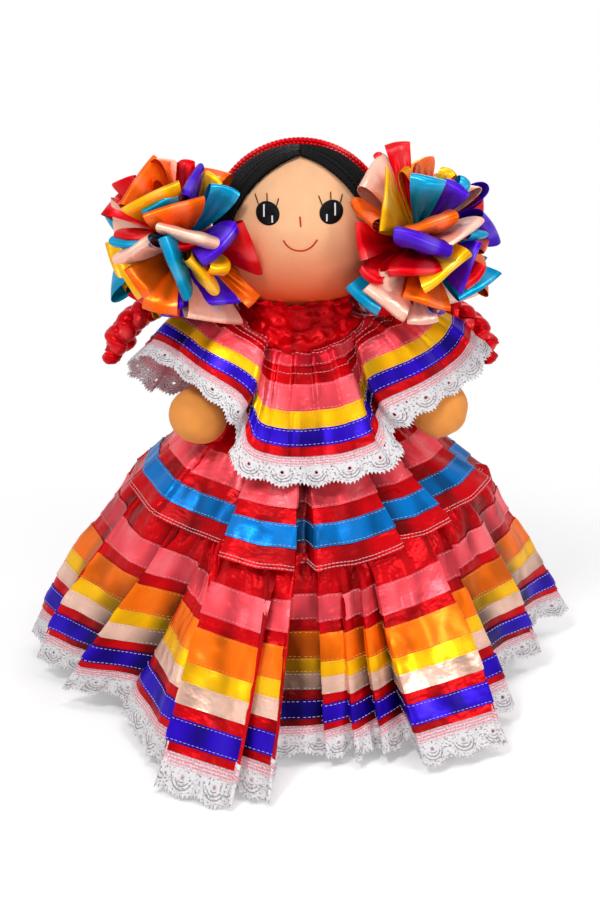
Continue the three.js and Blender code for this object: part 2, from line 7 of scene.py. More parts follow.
import bpy
import numpy as np
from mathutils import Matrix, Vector


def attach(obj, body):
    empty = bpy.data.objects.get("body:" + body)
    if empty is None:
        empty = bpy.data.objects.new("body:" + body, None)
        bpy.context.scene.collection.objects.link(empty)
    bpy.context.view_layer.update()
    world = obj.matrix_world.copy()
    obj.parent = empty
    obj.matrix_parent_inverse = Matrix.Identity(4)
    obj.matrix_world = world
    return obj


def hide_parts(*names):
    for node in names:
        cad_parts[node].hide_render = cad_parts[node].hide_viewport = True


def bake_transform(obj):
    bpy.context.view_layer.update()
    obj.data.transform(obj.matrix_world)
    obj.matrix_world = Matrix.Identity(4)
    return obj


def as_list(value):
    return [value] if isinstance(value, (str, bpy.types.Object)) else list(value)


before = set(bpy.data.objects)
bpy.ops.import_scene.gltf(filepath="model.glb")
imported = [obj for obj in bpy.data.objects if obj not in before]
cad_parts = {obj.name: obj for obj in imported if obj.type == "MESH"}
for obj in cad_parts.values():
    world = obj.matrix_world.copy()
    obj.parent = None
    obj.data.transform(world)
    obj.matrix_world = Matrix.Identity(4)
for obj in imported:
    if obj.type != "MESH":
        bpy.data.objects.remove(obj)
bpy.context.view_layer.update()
MM = 0.001
SIGNS = {"left": 1, "right": -1}
WHITE = (1, 1, 1, 1)
UV_SPAN = 60  # rings longer than this close without a seam in their weave

# The camera of the photograph: its tilt, its distance and the height that it looks at
CAMERA_TILT = math.radians(21.5)
CAMERA_DISTANCE = 1400
CAMERA_TARGET_Z = 165
CAMERA_LENS = 82
CAMERA_SENSOR = 36
IMAGE = (600, 900)
VIEW = np.array([0, math.cos(CAMERA_TILT), -math.sin(CAMERA_TILT)])  # the way it looks

# Skirt
HEM_R = 200
WAIST_R = 40
WAIST_Z = 214
CLOTH = 0.7
RIBBON = 0.4
RIBBON_LIFT = 0.35
# Painted shade in folds: its reach in columns, the depth at which it is full, and its darkest share
FOLD_REACH, FOLD_DEPTH, FOLD_SHADE = 9, 4.5, 0.2
# Stitches along a ribbon: pitch and length, inset from its edge, and widths of thread
STITCH = (3.0, 2.0)
STITCH_INSET = 1.3
THREAD, SKIRT_BOLD, FLOUNCE_BOLD = 0.26, 0.34, 0.32
# Pitch, length and width of the stitches on bare cloth
EDGE_STITCH, YOKE_STITCH = (2.6, 2.2, 0.6), (2.8, 2.3, 0.36)
WAIST_STITCH, PETTICOAT_STITCH = (3.2, 2.1, 0.5), (3.4, 2.4, 0.5)

# Lower tier bands down from the seam, and its slant
LOWER_SLANT = 159.3
LOWER_BANDS = {
    "lower_coral_ribbon": (25, 47),
    "lower_orange_ribbon": (56, 78),
    "lower_yellow_ribbon": (78, 90),
    "lower_cream_ribbon": (90, 103.5),
    "lower_purple_ribbon": (111.5, 126.5),
}
LOWER_CLOTH_END = 132
LOWER_LACE_TOP = 128
LOWER_TUCK = -9.5  # where the cloth ends under the upper tier

# Fold lines of the lower tier from the front round the doll's left side: degrees at the seam and
# at the hem, share of HEM_R, lift of the hem off the floor
FOLDS_LEFT = [
    (2, 0.5, 0.71, 6), (5.6, 7.4, 0.695, 6), (5.2, 6.0, 0.75, 5), (12.4, 15.4, 0.695, 6),
    (12, 13.6, 0.765, 5), (18.4, 21.9, 0.71, 7), (18, 20.2, 0.78, 6), (23.6, 30, 0.73, 8),
    (22.6, 27.6, 0.875, 4.5), (34, 38, 0.905, 7), (47, 46.9, 0.955, 8), (46, 45, 0.79, 9),
    (50, 55, 0.815, 9), (53, 61, 0.85, 11), (55, 62.5, 0.71, 11), (62, 80, 0.74, 12),
    (71, 87.5, 0.875, 12), (73, 88.5, 0.765, 13), (86, 99, 0.83, 14), (98, 105, 1.03, 15),
]
FOLDS_RIGHT = [
    (-97, -96, 0.985, 15), (-74, -83, 0.82, 12), (-77, -85.5, 0.947, 12), (-60, -77, 0.795, 11),
    (-48.5, -68, 0.765, 11), (-51, -70.2, 0.865, 11), (-33.5, -51, 0.66, 12), (-35.5, -56, 0.722, 11),
    (-31, -35.5, 0.88, 7), (-27, -24.5, 0.93, 6), (-29.5, -28, 1.014, 4),
    (-8, -11.9, 1.045, 0.6), (-9.2, -13.6, 0.93, 3), (-1.5, -5.3, 1.0, 2), (-2.6, -7, 0.715, 5),
]
# Swell of the lower tier half way down: degrees from the front and millimetres, and its reach
SIDE_SWELL = ((-88, 9.5), (80, 3.5))
SWELL_REACH = 30
BACK_PLEATS = 10
BACK_FOLD = (0.87, 1.013)

# Fold lines of the upper tier: degrees, radius at its lower edge
UPPER_FOLDS = [
    (2.4, 111), (4.4, 125), (18, 122), (34, 119), (31.5, 106), (44, 117), (54, 121), (50.5, 108),
    (70, 122), (83, 128), (79, 115), (97, 130), (112, 126), (108, 112), (130, 122), (126.5, 109),
    (149, 119), (146, 108), (170, 119), (167, 108), (192, 119), (189, 108), (214, 119), (211, 108),
    (236, 119), (233, 108), (254, 118), (258, 108), (255.5, 117), (276, 116), (281, 106), (278.5, 116.5),
    (300, 114), (306, 103), (303, 114), (331, 104), (338, 101), (335.5, 121), (347, 123), (359, 125),
    (357.5, 113),
]
UPPER_EDGE_Z = 133
UPPER_EDGE_RISE = 16
UPPER_SLANT = 114
UPPER_BANDS = {"upper_coral_ribbon": (50, 72), "upper_turquoise_ribbon": (83, 99)}

# Flounce: its yoke, then its edge from the front to the back on each side, as degrees at the yoke,
# degrees at the edge, radius and height of the edge, and how far the cloth puffs up between them
YOKE = (46, 45, 252)
YOKE_RISE = 14
FLOUNCE_FRONT, FLOUNCE_BACK = (0, 0, 90.5, 173, 3), (180, 180, 91.5, 188, 4)
FLOUNCE_LEFT = [
    (15, 17, 95, 175, 3), (31, 31, 99, 180, 3), (46.5, 43.2, 104, 186, 2), (50.5, 46, 88, 199, 4),
    (45, 45.4, 99, 206, 11), (53, 50.5, 103, 211, 13), (61, 59, 109, 219, 13), (69, 67, 116, 224, 13),
    (77, 76, 124, 230, 13), (85, 87, 129, 240, 12), (93, 95, 128, 231, 11), (103, 103, 120, 210, 9),
    (114, 112, 107, 194, 7), (132, 130, 97, 188, 5), (156, 156, 92, 188, 4),
]
FLOUNCE_RIGHT = [
    (-160, -158, 92, 188, 4), (-136, -132, 95, 187, 5), (-118, -113, 101, 189, 7), (-105, -102, 109, 200, 9),
    (-95, -92, 117, 217, 11), (-85, -81, 116, 238, 12), (-75, -70, 109, 245, 13), (-65, -60, 102, 243, 13),
    (-55, -51, 98.5, 238, 13), (-46, -43, 96.5, 232, 13), (-37, -35, 94.5, 223, 12),
    (-28.5, -30.4, 93.5, 215, 11), (-34, -31.5, 82, 205, 4), (-30, -28, 100.5, 188, 2), (-15, -15, 94, 176, 3),
]
FLOUNCE_TURNS = (-30, 44)  # where the front panel turns under both side lobes
TURN_FLARE, TURN_REACH = 2.2, 8
FLOUNCE_PLEATS = (-76, -58, -47, -15, -4, 10, 24, 57, 68, 80)  # degrees at the edge of knife pleats
PLEAT_HEIGHT, PLEAT_COLUMNS = 4.2, 11.0
FLOUNCE_BANDS = {
    "flounce_upper_coral_ribbon": (0.035, 0.15),
    "flounce_coral_ribbon": (0.28, 0.47),
    "flounce_yellow_ribbon": (0.47, 0.59),
    "flounce_purple_ribbon": (0.59, 0.71),
}
FLOUNCE_CLOTH_END = 0.775
FLOUNCE_LACE_TOP = 0.745
FLOUNCE_COLUMNS = 480
FLOUNCE_FINE = 4000  # steps of the edge before its columns are picked
ARM_BEND = (0.062, 0.11, 0.238)  # metres: two widths and their height, given to bend for pieces that lie on an arm

# Collar: half width and half depth at its foot, how far they draw in, foot, height and frill
COLLAR_FOOT, COLLAR_DRAWN = (45, 45.5), (8.0, 7.0)
COLLAR_Z, COLLAR_HEIGHT, COLLAR_FRILL = 251, 32, 2.2

# Lace
LACE_PERIOD = 23
LACE_WIDTH = 29
LACE_EYELET = 16
LACE_THICK = 0.45
LACE_GRID = 0.85
LACE_BEHIND = -CLOTH - LACE_THICK - 0.15  # from the face of the cloth to the lace behind it

# Head, hair and face
HEAD = np.array([0.0, -6.0, 320.0])
HEAD_R = np.array([53.0, 50.0, 53.0])
CHIN = (0.287, 0.336)  # heights in metres between which the face grows paler upwards, as the painted shade and red bounce light under the chin fade
HAIR = 4.0
NECK_LOW = (0, -0.006, 0.256)  # metres, the low point given to bend for pieces between torso and head
PART_FRONT = (0.0, -0.2, 0.98)
HAIR_STRANDS = 84
YARN_R = 1.45
EYES = {"right_eye": (-20.3, 23.4), "left_eye": (19.7, 24.2)}
EYE_SIZE = (7.5, 6.9)
EYE_SIDES, EYE_BASE, EYE_TOP = 72, -0.8, 1.25
# Stitches of the face from an eye's middle: glints as width, low, high and radius, lashes by both ends
GLINTS = ((1.9, -2.2, 4.6, 0.55), (-3.2, -5.0, -1.0, 0.5))
LASHES = (((-8.0, 9.6), (-5.8, 4.6)), ((-0.5, 11.0), (-0.3, 6.2)), ((6.9, 8.9), (5.6, 4.6)))
# Width, height over the head's middle and, for the nose, distance off the face
NOSE = ((-0.1, 22.6, 0.35), (0.3, 19.6, 0.5), (0.5, 16.6, 0.3))
SMILE = ((-10.3, 8.2), (-8.4, 5.4), (-5.6, 3.2), (-2.2, 2.1), (1.2, 1.9), (4.8, 2.8), (8.2, 5.2), (10.8, 8.6))

# Pompoms and braids
POMPOM = (74, -27, 320)
POMPOM_AXIS = (0.96, -0.28, 0)
LOOPS = 60
LOOP_LENGTH = 50
LOOP_WIDTH = 38
# Heights in metres, given to bend for the pompom loops between head and torso
LOOPS_FREE, LOOPS_REST = 0.308, 0.272
TINTS = ("red", "orange", "yellow", "turquoise", "purple", "peach")
# The loops that face the viewer: colour, the two ends of the ridge in the photograph, reach from the hub
POMPOM_RIDGES = {
    "right": [
        ("orange", 152, 156, 118, 205, 57), ("red", 114, 182, 134, 176, 54),
        ("yellow", 121, 207, 178, 178, 57), ("turquoise", 142, 212, 178, 197, 50),
        ("orange", 144, 220, 206, 202, 56), ("peach", 157, 222, 220, 242, 60),
        ("red", 114, 234, 149, 233, 52), ("turquoise", 109, 241, 150, 239, 54),
        ("peach", 113, 261, 150, 244, 55), ("turquoise", 160, 238, 188, 300, 58),
        ("red", 173, 254, 198, 246, 46), ("purple", 201, 263, 240, 228, 54),
        ("red", 245, 218, 264, 272, 58), ("turquoise", 211, 188, 240, 197, 54),
        ("purple", 199, 163, 185, 195, 54), ("red", 178, 163, 193, 161, 52),
        ("yellow", 207, 171, 222, 184, 50), ("peach", 167, 161, 178, 164, 50),
        ("yellow", 184, 263, 217, 295, 57), ("yellow", 210, 267, 228, 273, 50),
        ("orange", 248, 308, 266, 286, 55), ("orange", 142, 306, 177, 312, 58),
        ("yellow", 121, 263, 140, 299, 54), ("peach", 184, 319, 242, 324, 58),
        ("orange", 124, 270, 158, 316, 56), ("purple", 176, 310, 186, 308, 50),
    ],
    "left": [
        ("red", 383, 141, 410, 142, 57), ("red", 372, 153, 376, 139, 54),
        ("peach", 356, 188, 382, 153, 56), ("yellow", 382, 168, 381, 231, 60),
        ("orange", 352, 199, 373, 223, 55), ("turquoise", 411, 174, 446, 182, 56),
        ("orange", 412, 162, 430, 156, 54), ("yellow", 444, 167, 456, 175, 52),
        ("purple", 446, 178, 470, 192, 54), ("turquoise", 461, 179, 470, 183, 56),
        ("orange", 402, 228, 457, 211, 57), ("peach", 447, 243, 482, 216, 58),
        ("purple", 392, 239, 452, 253, 61), ("red", 354, 223, 361, 261, 58),
        ("red", 388, 274, 442, 267, 55), ("red", 360, 268, 383, 279, 55),
        ("yellow", 421, 286, 471, 253, 59), ("purple", 458, 293, 481, 242, 56),
        ("turquoise", 471, 233, 488, 236, 55), ("red", 468, 291, 486, 267, 54),
        ("peach", 362, 291, 404, 321, 60), ("turquoise", 345, 290, 377, 316, 57),
        ("orange", 402, 297, 452, 308, 57), ("peach", 408, 325, 439, 321, 56),
        ("peach", 385, 272, 390, 300, 52),
    ],
}
# Crown braid: how far behind the middle, how high over the hair, degrees to each side, turns
CROWN_BACK, CROWN_SIT, CROWN_SPAN, CROWN_TURNS = 18.0, 2.3, 86, 20
# Strands of a plait: radius, swing to the side, swing over and under
CROWN_STRAND, BRAID_STRAND = (1.5, 1.5, 0.9), (6.8, 6.4, 3.4)
BRAID_TURNS = 3.4
BRAID_SIDES = 14
BRAID_BEND = ((0.055, 0.025, 0.292), (0.074, 0.028, 0.266))  # metres, between head and torso
BRAID_CUT = 262  # height from which the side braids rest on the flounce
BRAID_PATH = [(49, 24, 303), (60, 27, 285), (78, 27, 271), (98, 20, 262), (115, 10, 252), (126, 2, 232)]

# Arms and legs
SHOULDER = np.array([46.8, 0.0, 236.0])
HANDS = {"left": (91, -35, 209), "right": (-66, -45, 208)}
HAND_R = 19.5
ARM_R = 10.5
HIP = np.array([19.0, 0.0, 161.5])

# Height, half width and half depth of the torso and of the cloth round it
TORSO = np.array([
    (176, 24, 22), (180, 30, 27), (184, 33.4, 30.4), (200, 34.4, 32.2), (224, 34, 31), (243, 33.4, 30.4),
    (250, 25, 24), (254, 16, 16), (256, 13.4, 13.4),
])
BODICE = [
    (251.5, 45.5, 42.5), (247, 41, 38), (243, 37.2, 35.4), (235, 36.4, 34.6), (225, 36.4, 34.6),
    (215, 36.6, 34.8),
]
WAISTBAND = [(222, 38.8, 37.0), (220, 39.6, 37.8), (217, 39.8, 38.0), (214.3, 39.2, 37.4)]
# Radius by height of the neck and of a leg
NECK = np.array([(254, 13.2), (257, 14), (262, 13.6), (266, 14.2), (269, 13)])
LEG = np.array([
    (22, 10.6), (30, 11.4), (60, 12.6), (120, 14), (160, 14.4), (168, 11.5), (172, 7), (174.5, 2.5),
])
# Petticoat: radius and height at its top, and how far it flares and falls
PETTICOAT_R, PETTICOAT_Z, PETTICOAT_FLARE, PETTICOAT_FALL = 38, 205, 86, 187

# Studio: what the white paper adds to its own shading, the light all round, and the lamps with
# their places in metres, sizes and powers
FLOOR_LIFT = 0.3
WORLD_LIGHT = 0.22
LAMP_AIM = (0, 0, 0.18)
LAMPS = (
    ("key", (-0.5, -0.95, 1.5), 0.35, 10.5), ("front", (0.25, -1.7, 0.75), 0.5, 4),
    ("top", (0.2, -0.25, 1.7), 0.5, 5), ("left_fill", (-1.5, -0.3, 0.6), 0.5, 2.5),
    ("right_fill", (1.3, -1.0, 0.8), 0.4, 7.5), ("back_fill", (0.2, 1.5, 0.9), 0.8, 4),
)

PALETTE = {
    "red": "#c8010d",
    "coral": "#fb4f5b",
    # coral in painted shade, for the ribbon that lies under the head
    "coral_deep": "#dc2233",
    "orange": "#fc7008",
    "yellow": "#ffba05",
    "cream": "#e9bba6",
    "purple": "#2906b4",
    "turquoise": "#0273c4",
    "pom_red": "#dc0212",
    "pom_orange": "#fb640a",
    "pom_yellow": "#fdb40a",
    "pom_turquoise": "#0296c6",
    "pom_purple": "#4a0fc8",
    "pom_peach": "#ffc3ad",
    "skin": "#fec394",
    # painted shade and red bounce light under the chin
    "chin": "#e4480a",
    "hand": "#ffa54e",
    "white": "#f1eef0",
    "lace_pink": "#e58f9c",
    "lace_grey": "#9d969e",
    "black": "#060507",
    "felt": "#1a161a",
    "pink_thread": "#ffc9cf",
    "pale_thread": "#f5e9e4",
    "gold_thread": "#ffc27a",
    "face_red": "#cf2222",
}


def colour(name, shade=1.0):
    """A palette colour as linear RGBA."""
    code = PALETTE[name].lstrip("#")
    values = [int(code[i:i + 2], 16) / 255 for i in (0, 2, 4)]
    linear = [v / 12.92 if v <= 0.04045 else ((v + 0.055) / 1.055) ** 2.4 for v in values]
    return (*[min(1.0, v * shade) for v in linear], 1.0)


# Small vector helpers


def unit(v):
    v = np.asarray(v, float)
    return v / np.maximum(np.linalg.norm(v, axis=-1, keepdims=True), 1e-9)


def around(degrees, radius, z, depth=None):
    """Points by angle from the front towards the doll's left."""
    t = np.radians(degrees)
    radius, z, t = np.broadcast_arrays(np.asarray(radius, float), np.asarray(z, float), t)
    depth = radius if depth is None else depth
    return np.stack([radius * np.sin(t), -depth * np.cos(t), z], axis=-1)


def smooth(t):
    t = np.clip(t, 0, 1)
    return t * t * (3 - 2 * t)


def soften(values, sigma):
    """Blurs a closed row of values along its last axis, sigma in samples."""
    n = values.shape[-1]
    k = np.fft.rfftfreq(n)
    return np.fft.irfft(np.fft.rfft(values, axis=-1) * np.exp(-2 * (np.pi * k * sigma) ** 2), n, axis=-1)


def full_turn(columns):
    """The degrees of a ring's columns, as one row."""
    return np.linspace(0, 360, columns, endpoint=False)[None]


def lengths(path):
    """How far along a path each of its points lies."""
    return np.concatenate([[0], np.cumsum(np.linalg.norm(np.diff(path, axis=0), axis=1))])


def read_along(values, s, where):
    """Values at distances along a path whose points lie at the distances s."""
    return np.stack([np.interp(where, s, row) for row in values.T], axis=-1)


def bridge(a, b, c, d, t):
    """A smooth step from b to c between its neighbours a and d."""
    return 0.5 * (2 * b + (c - a) * t + (2 * a - 5 * b + 4 * c - d) * t ** 2
                  + (3 * b - a - 3 * c + d) * t ** 3)


class Folds:
    """Seeded ripples round a ring that change slowly from its top to its edge."""

    def __init__(self, seed, n, rows, sigma):
        values = soften(np.random.RandomState(seed).standard_normal((rows, n)), sigma)
        self.rows = values / values.std()

    def at(self, ts):
        x = np.clip(np.asarray(ts, float), 0, 1) * (len(self.rows) - 1)
        low = np.minimum(x.astype(int), len(self.rows) - 2)
        f = smooth(x - low)[:, None]
        return self.rows[low] * (1 - f) + self.rows[low + 1] * f


def slopes(grid, wrap):
    """Outward unit normals of a grid whose rows run down and whose columns run round."""
    if wrap:
        across = (np.roll(grid, -1, axis=1) - np.roll(grid, 1, axis=1)) / 2
    else:
        across = np.gradient(grid, axis=1)
    return unit(np.cross(np.gradient(grid, axis=0), across))


def painted_shade_depth(grid):
    """How deep each point of a ring of cloth lies in its folds, from 0 to 1, which sets its painted shade."""
    radius = np.hypot(grid[..., 0], grid[..., 1])
    return np.clip((soften(radius, FOLD_REACH) - radius) / FOLD_DEPTH, 0, 1)


# Meshes


def lay_weave(mesh, uv):
    """Gives a mesh its weave in millimetres, unbroken where a ring closes."""
    index = np.empty(len(mesh.loops), int)
    mesh.loops.foreach_get("vertex_index", index)
    starts = np.empty(len(mesh.polygons), int)
    mesh.polygons.foreach_get("loop_start", starts)
    values = np.asarray(uv, float)[index]
    low, high = [f.reduceat(values[:, 0], starts) for f in (np.minimum, np.maximum)]
    first = values[:, 0].min()
    span = values[:, 0].max() - first
    sizes = np.diff(np.append(starts, len(index)))
    across = np.repeat((high - low > span / 2) & (span > UV_SPAN), sizes)
    values[across & (values[:, 0] < first + span / 2), 0] += span
    mesh.uv_layers.new(name="cloth").data.foreach_set("uv", values.ravel())


def point_values(mesh, name, values):
    """Stores a value per point of a shell's front, and the same for its back."""
    stored = mesh.attributes.new(name, "FLOAT", "POINT")
    stored.data.foreach_set("value", np.tile(values.ravel(), 2).astype(np.float32))


def make(name, parts, material, sharp=50, fold=None):
    """A mesh object from points, faces and a uv per point, in millimetres.

    The fold is how deep the points of a shell lie in their folds, which darkens them with painted shade.
    """
    verts, faces, uv = parts
    mesh = bpy.data.meshes.new(name)
    mesh.from_pydata((np.asarray(verts, float) * MM).tolist(), [], [list(map(int, f)) for f in faces])
    mesh.polygons.foreach_set("use_smooth", np.ones(len(mesh.polygons), bool))
    if sharp:
        mesh.set_sharp_from_angle(angle=math.radians(sharp))
    lay_weave(mesh, uv)
    if fold is not None:
        point_values(mesh, "fold", fold)
    mesh.materials.append(material)
    mesh.update()
    obj = bpy.data.objects.new(name, mesh)
    bpy.context.collection.objects.link(obj)
    return obj


def quads(rows, columns, wrap, start=0, flip=False):
    i, j = np.meshgrid(np.arange(rows - 1), np.arange(columns if wrap else columns - 1), indexing="ij")
    k = (j + 1) % columns
    faces = np.stack([i * columns + j, (i + 1) * columns + j, (i + 1) * columns + k, i * columns + k], axis=-1)
    faces = faces.reshape(-1, 4) + start
    return faces[:, ::-1] if flip else faces


def grid_uv(grid, wrap=False):
    """Millimetres round and down a grid. A ring counts both ways from its first column."""
    middle = grid[len(grid) // 2]
    round_ = lengths(middle)
    if wrap:
        round_[len(round_) // 2:] -= round_[-1] + np.linalg.norm(middle[0] - middle[-1])
    down = np.cumsum(np.linalg.norm(np.diff(grid, axis=0), axis=2).mean(axis=1))
    return np.stack(np.meshgrid(round_, [0, *down]), axis=-1).reshape(-1, 2)


def shell(grid, thick, wrap, lift=0.0, normals=None):
    """A closed thin solid: the grid lifted outwards, its back face and its rims."""
    rows, columns, _ = grid.shape
    n = slopes(grid, wrap) if normals is None else normals
    front = (grid + n * (lift + thick)).reshape(-1, 3)
    back = (grid + n * lift).reshape(-1, 3)
    size = rows * columns
    faces = [quads(rows, columns, wrap), quads(rows, columns, wrap, size, flip=True)]
    j = np.arange(columns if wrap else columns - 1)
    k = (j + 1) % columns
    last = (rows - 1) * columns
    faces.append(np.stack([j, k, k + size, j + size], axis=-1))
    faces.append(np.stack([last + k, last + j, last + j + size, last + k + size], axis=-1))
    if not wrap:
        i = np.arange(rows - 1) * columns
        e = columns - 1
        faces.append(np.stack([i + columns, i, i + size, i + columns + size], axis=-1))
        faces.append(np.stack([i + e, i + columns + e, i + columns + e + size, i + e + size], axis=-1))
    uv = grid_uv(grid, wrap)
    return np.concatenate([front, back]), np.concatenate(faces), np.concatenate([uv, uv])


class Heap:
    """Gathers many small bodies into one mesh."""

    def __init__(self):
        self.verts, self.faces, self.uvs, self.count = [], [], [], 0

    def add(self, verts, faces, uv=None):
        self.verts.append(np.asarray(verts, float))
        self.faces.extend((np.asarray(f) + self.count).tolist() for f in faces)
        self.uvs.append(np.zeros((len(verts), 2)) if uv is None else uv)
        self.count += len(verts)

    def make(self, name, material):
        return make(name, (np.concatenate(self.verts), self.faces, np.concatenate(self.uvs)), material)


def capped(rings, ends=None, flip=False):
    """Points and faces of a stack of rings, closed by fans round two end points."""
    rows, columns, _ = rings.shape
    if ends is None:
        ends = [rings[0].mean(axis=0), rings[-1].mean(axis=0)]
    faces = quads(rows, columns, True, flip=flip).tolist()
    tip, last = rows * columns, (rows - 1) * columns
    for j in range(columns):
        a, b = j, (j + 1) % columns
        if flip:
            a, b = b, a
        faces += [[tip, a, b], [tip + 1, last + b, last + a]]
    return np.concatenate([rings.reshape(-1, 3), ends]), faces


def beside(path, up):
    """Unit vectors to the side of a path and over it."""
    along = unit(np.gradient(path, axis=0))
    side = unit(np.cross(along, np.broadcast_to(np.asarray(up, float), path.shape)))
    return side, np.cross(side, along)


def tube(path, radius, sides=8, flat=1.0, up=(0, 0, 1)):
    """A capped tube along points. Its uv runs round it and along it, in millimetres."""
    path = np.asarray(path, float)
    radius = np.broadcast_to(np.asarray(radius, float), (len(path),))
    side, over = beside(path, up)
    t = np.arange(sides) * 2 * np.pi / sides
    rings = (path[:, None] + side[:, None] * (np.cos(t) * radius[:, None])[..., None]
             + over[:, None] * (np.sin(t) * radius[:, None] * flat)[..., None])
    verts, faces = capped(rings, path[[0, -1]], flip=True)
    length = lengths(path)
    uv = np.stack(np.broadcast_arrays(t * radius.max(), length[:, None]), axis=-1)
    return verts, faces, np.concatenate([uv.reshape(-1, 2), [[0, 0], [0, length[-1]]]])


def curve(points, steps):
    """A smooth path through points at even steps."""
    p = np.asarray(points, float)
    p = np.concatenate([[2 * p[0] - p[1]], p, [2 * p[-1] - p[-2]]])
    t = np.linspace(0, 1, 24, endpoint=False)[:, None]
    dense = np.concatenate([*[bridge(*four, t) for four in zip(p, p[1:], p[2:], p[3:])], p[-2:-1]])
    s = lengths(dense)
    return read_along(dense, s, np.linspace(0, s[-1], steps))


def stitches(heap, line, normals, pitch, length, width, lift, wrap):
    """A row of short threads along a line on the cloth."""
    if wrap:
        line, normals = np.concatenate([line, line[:1]]), np.concatenate([normals, normals[:1]])
    s = lengths(line)
    starts = np.arange(0, s[-1] - length, pitch)
    ends = [read_along(line, s, starts + length * f) for f in (0, 0.2, 0.8, 1)]
    out = unit(read_along(normals, s, starts + length / 2))
    side = unit(np.cross(out, ends[3] - ends[0])) * width / 2
    rings = []
    for end, high, slim in zip(ends, (0.12, 0.42, 0.42, 0.12), (0.5, 1, 1, 0.5)):
        base, half, rise = end + out * lift, side * slim, out * high
        rings += [base - half, base + half, base + half * 0.6 + rise, base - half * 0.6 + rise]
    pattern = [[0, 1, 2, 3], [15, 14, 13, 12]]
    for r in (0, 4, 8):
        for c, d in ((0, 1), (1, 2), (2, 3), (3, 0)):
            pattern.append([r + d, r + c, r + c + 4, r + d + 4])
    faces = (np.array(pattern)[None] + np.arange(len(starts))[:, None, None] * 16).reshape(-1, 4)
    heap.add(np.stack(rings, axis=1).reshape(-1, 3), faces)


# Materials


def put(tree, value, socket):
    """Sets a socket, or links it to an output."""
    if isinstance(value, bpy.types.NodeSocket):
        tree.links.new(value, socket)
    else:
        socket.default_value = value


def wire(tree, made, **inputs):
    for key, value in inputs.items():
        put(tree, value, made.inputs[key.replace("_", " ")])


def node(tree, kind, props=None, **inputs):
    made = tree.nodes.new("ShaderNode" + kind)
    for key, value in (props or {}).items():
        setattr(made, key, value)
    wire(tree, made, **inputs)
    return made


def begin(name, **shader):
    material = bpy.data.materials.new(name)
    material.use_nodes = True
    tree = material.node_tree
    bsdf = tree.nodes["Principled BSDF"]
    wire(tree, bsdf, **shader)
    return material, tree, bsdf


def weave(tree):
    return node(tree, "UVMap", {"uv_map": "cloth"}).outputs["UV"]


def layer(tree, name):
    """A value that a mesh stores per point."""
    return node(tree, "Attribute", {"attribute_name": name}).outputs["Fac"]


def sums(tree, operation, *values, clamp=False):
    """One step of arithmetic on textures and numbers."""
    made = node(tree, "Math", {"operation": operation, "use_clamp": clamp})
    for value, socket in zip(values, made.inputs):
        put(tree, value, socket)
    return made.outputs[0]


def mixed(tree, kind, factor, first, second):
    """Two colours mixed by a factor."""
    made = node(tree, "Mix", {"data_type": "RGBA", "blend_type": kind})
    for index, value in ((0, factor), (6, first), (7, second)):
        put(tree, value, made.inputs[index])
    return made.outputs[2]


def remap(tree, value, low, high, first=0.0, last=1.0):
    """A texture's values from low to high as values from first to last."""
    made = node(tree, "MapRange", Value=value, From_Min=low, From_Max=high, To_Min=first, To_Max=last)
    return made.outputs["Result"]


def shades(tree, factor, *stops):
    """A colour by steps of a texture, each a position and a colour."""
    made = node(tree, "ValToRGB", Fac=factor)
    elements = made.color_ramp.elements
    for _ in stops[2:]:
        elements.new(0.5)
    for element, (position, _) in zip(elements, stops):
        element.position = position
    for element, (_, tint) in zip(elements, stops):
        element.color = tint
    return made.outputs["Color"]


def ramp(tree, factor, low, high, start=0.3, end=0.7):
    return shades(tree, factor, (start, low), (end, high))


def bumps(tree, *layers, invert=False):
    """Bumps over each other, each a strength, a depth in metres and a height."""
    below = {}
    for strength, depth, height in layers:
        made = node(tree, "Bump", {"invert": invert}, Strength=strength, Distance=depth, Height=height, **below)
        below = {"Normal": made.outputs["Normal"]}
    return below["Normal"]


def threads(tree, uv, along, across, detail=2.0):
    """Noise drawn out along the threads of a cloth, by the sizes of its features in millimetres."""
    stretched = node(tree, "Mapping", Vector=uv, Scale=(1 / along, 1 / across, 1))
    return node(tree, "TexNoise", Vector=stretched.outputs["Vector"], Scale=1.0, Detail=detail).outputs["Fac"]


def strands(tree, uv, pitch, distortion, detail, way="X"):
    """Bands a pitch apart, as in the threads of a weave or the ply of a yarn."""
    return node(tree, "TexWave", {"wave_type": "BANDS", "bands_direction": way}, Vector=uv,
                Scale=2 * math.pi / (20 * pitch), Distortion=distortion, Detail=detail).outputs["Fac"]


def satin(name, tint, roughness=(0.26, 0.36), crinkle=0.12, anisotropic=0.5, deep=0.55, painted_highlight_white=0.01, lustre=0.4):
    """Shiny ribbon: long floats, a fine weft, soft creases, and broad patches of painted highlight and painted
    shade.
    """
    material, tree, bsdf = begin(name, Anisotropic=anisotropic, Metallic=lustre, Specular_IOR_Level=0.08)
    uv = weave(tree)
    floats = threads(tree, uv, 9, 0.22)
    painted_sheen_patches = threads(tree, uv, 24, 60, 1.5)
    # Painted sheen: patches darken the colour by deep as painted shade, and lighten it towards white by pale as
    # painted highlight
    light = (*[min(1, 1.15 * v + (1 - v) * painted_highlight_white) for v in colour(tint)[:3]], 1)
    base = shades(tree, painted_sheen_patches, (0.36, colour(tint, deep)), (0.5, colour(tint)), (0.66, light))
    lines = ramp(tree, floats, colour(tint, 0.86), colour(tint, 1.1))
    # Painted shade: the colour darkens where the cloth lies deep in its folds
    shade = ramp(tree, layer(tree, "fold"), WHITE, (*[FOLD_SHADE] * 3, 1), 0.0, 1.0)
    tangent = node(tree, "Tangent", {"direction_type": "UV_MAP", "uv_map": "cloth"})
    wire(tree, bsdf,
         Base_Color=mixed(tree, "MULTIPLY", 1.0, mixed(tree, "MIX", 0.2, base, lines), shade),
         Roughness=remap(tree, painted_sheen_patches, 0.35, 0.65, *roughness[::-1]),
         Normal=bumps(tree, (crinkle, 0.0022, threads(tree, uv, 12, 9)), (0.05, 0.0001, floats)),
         Tangent=tangent.outputs["Tangent"])
    return material


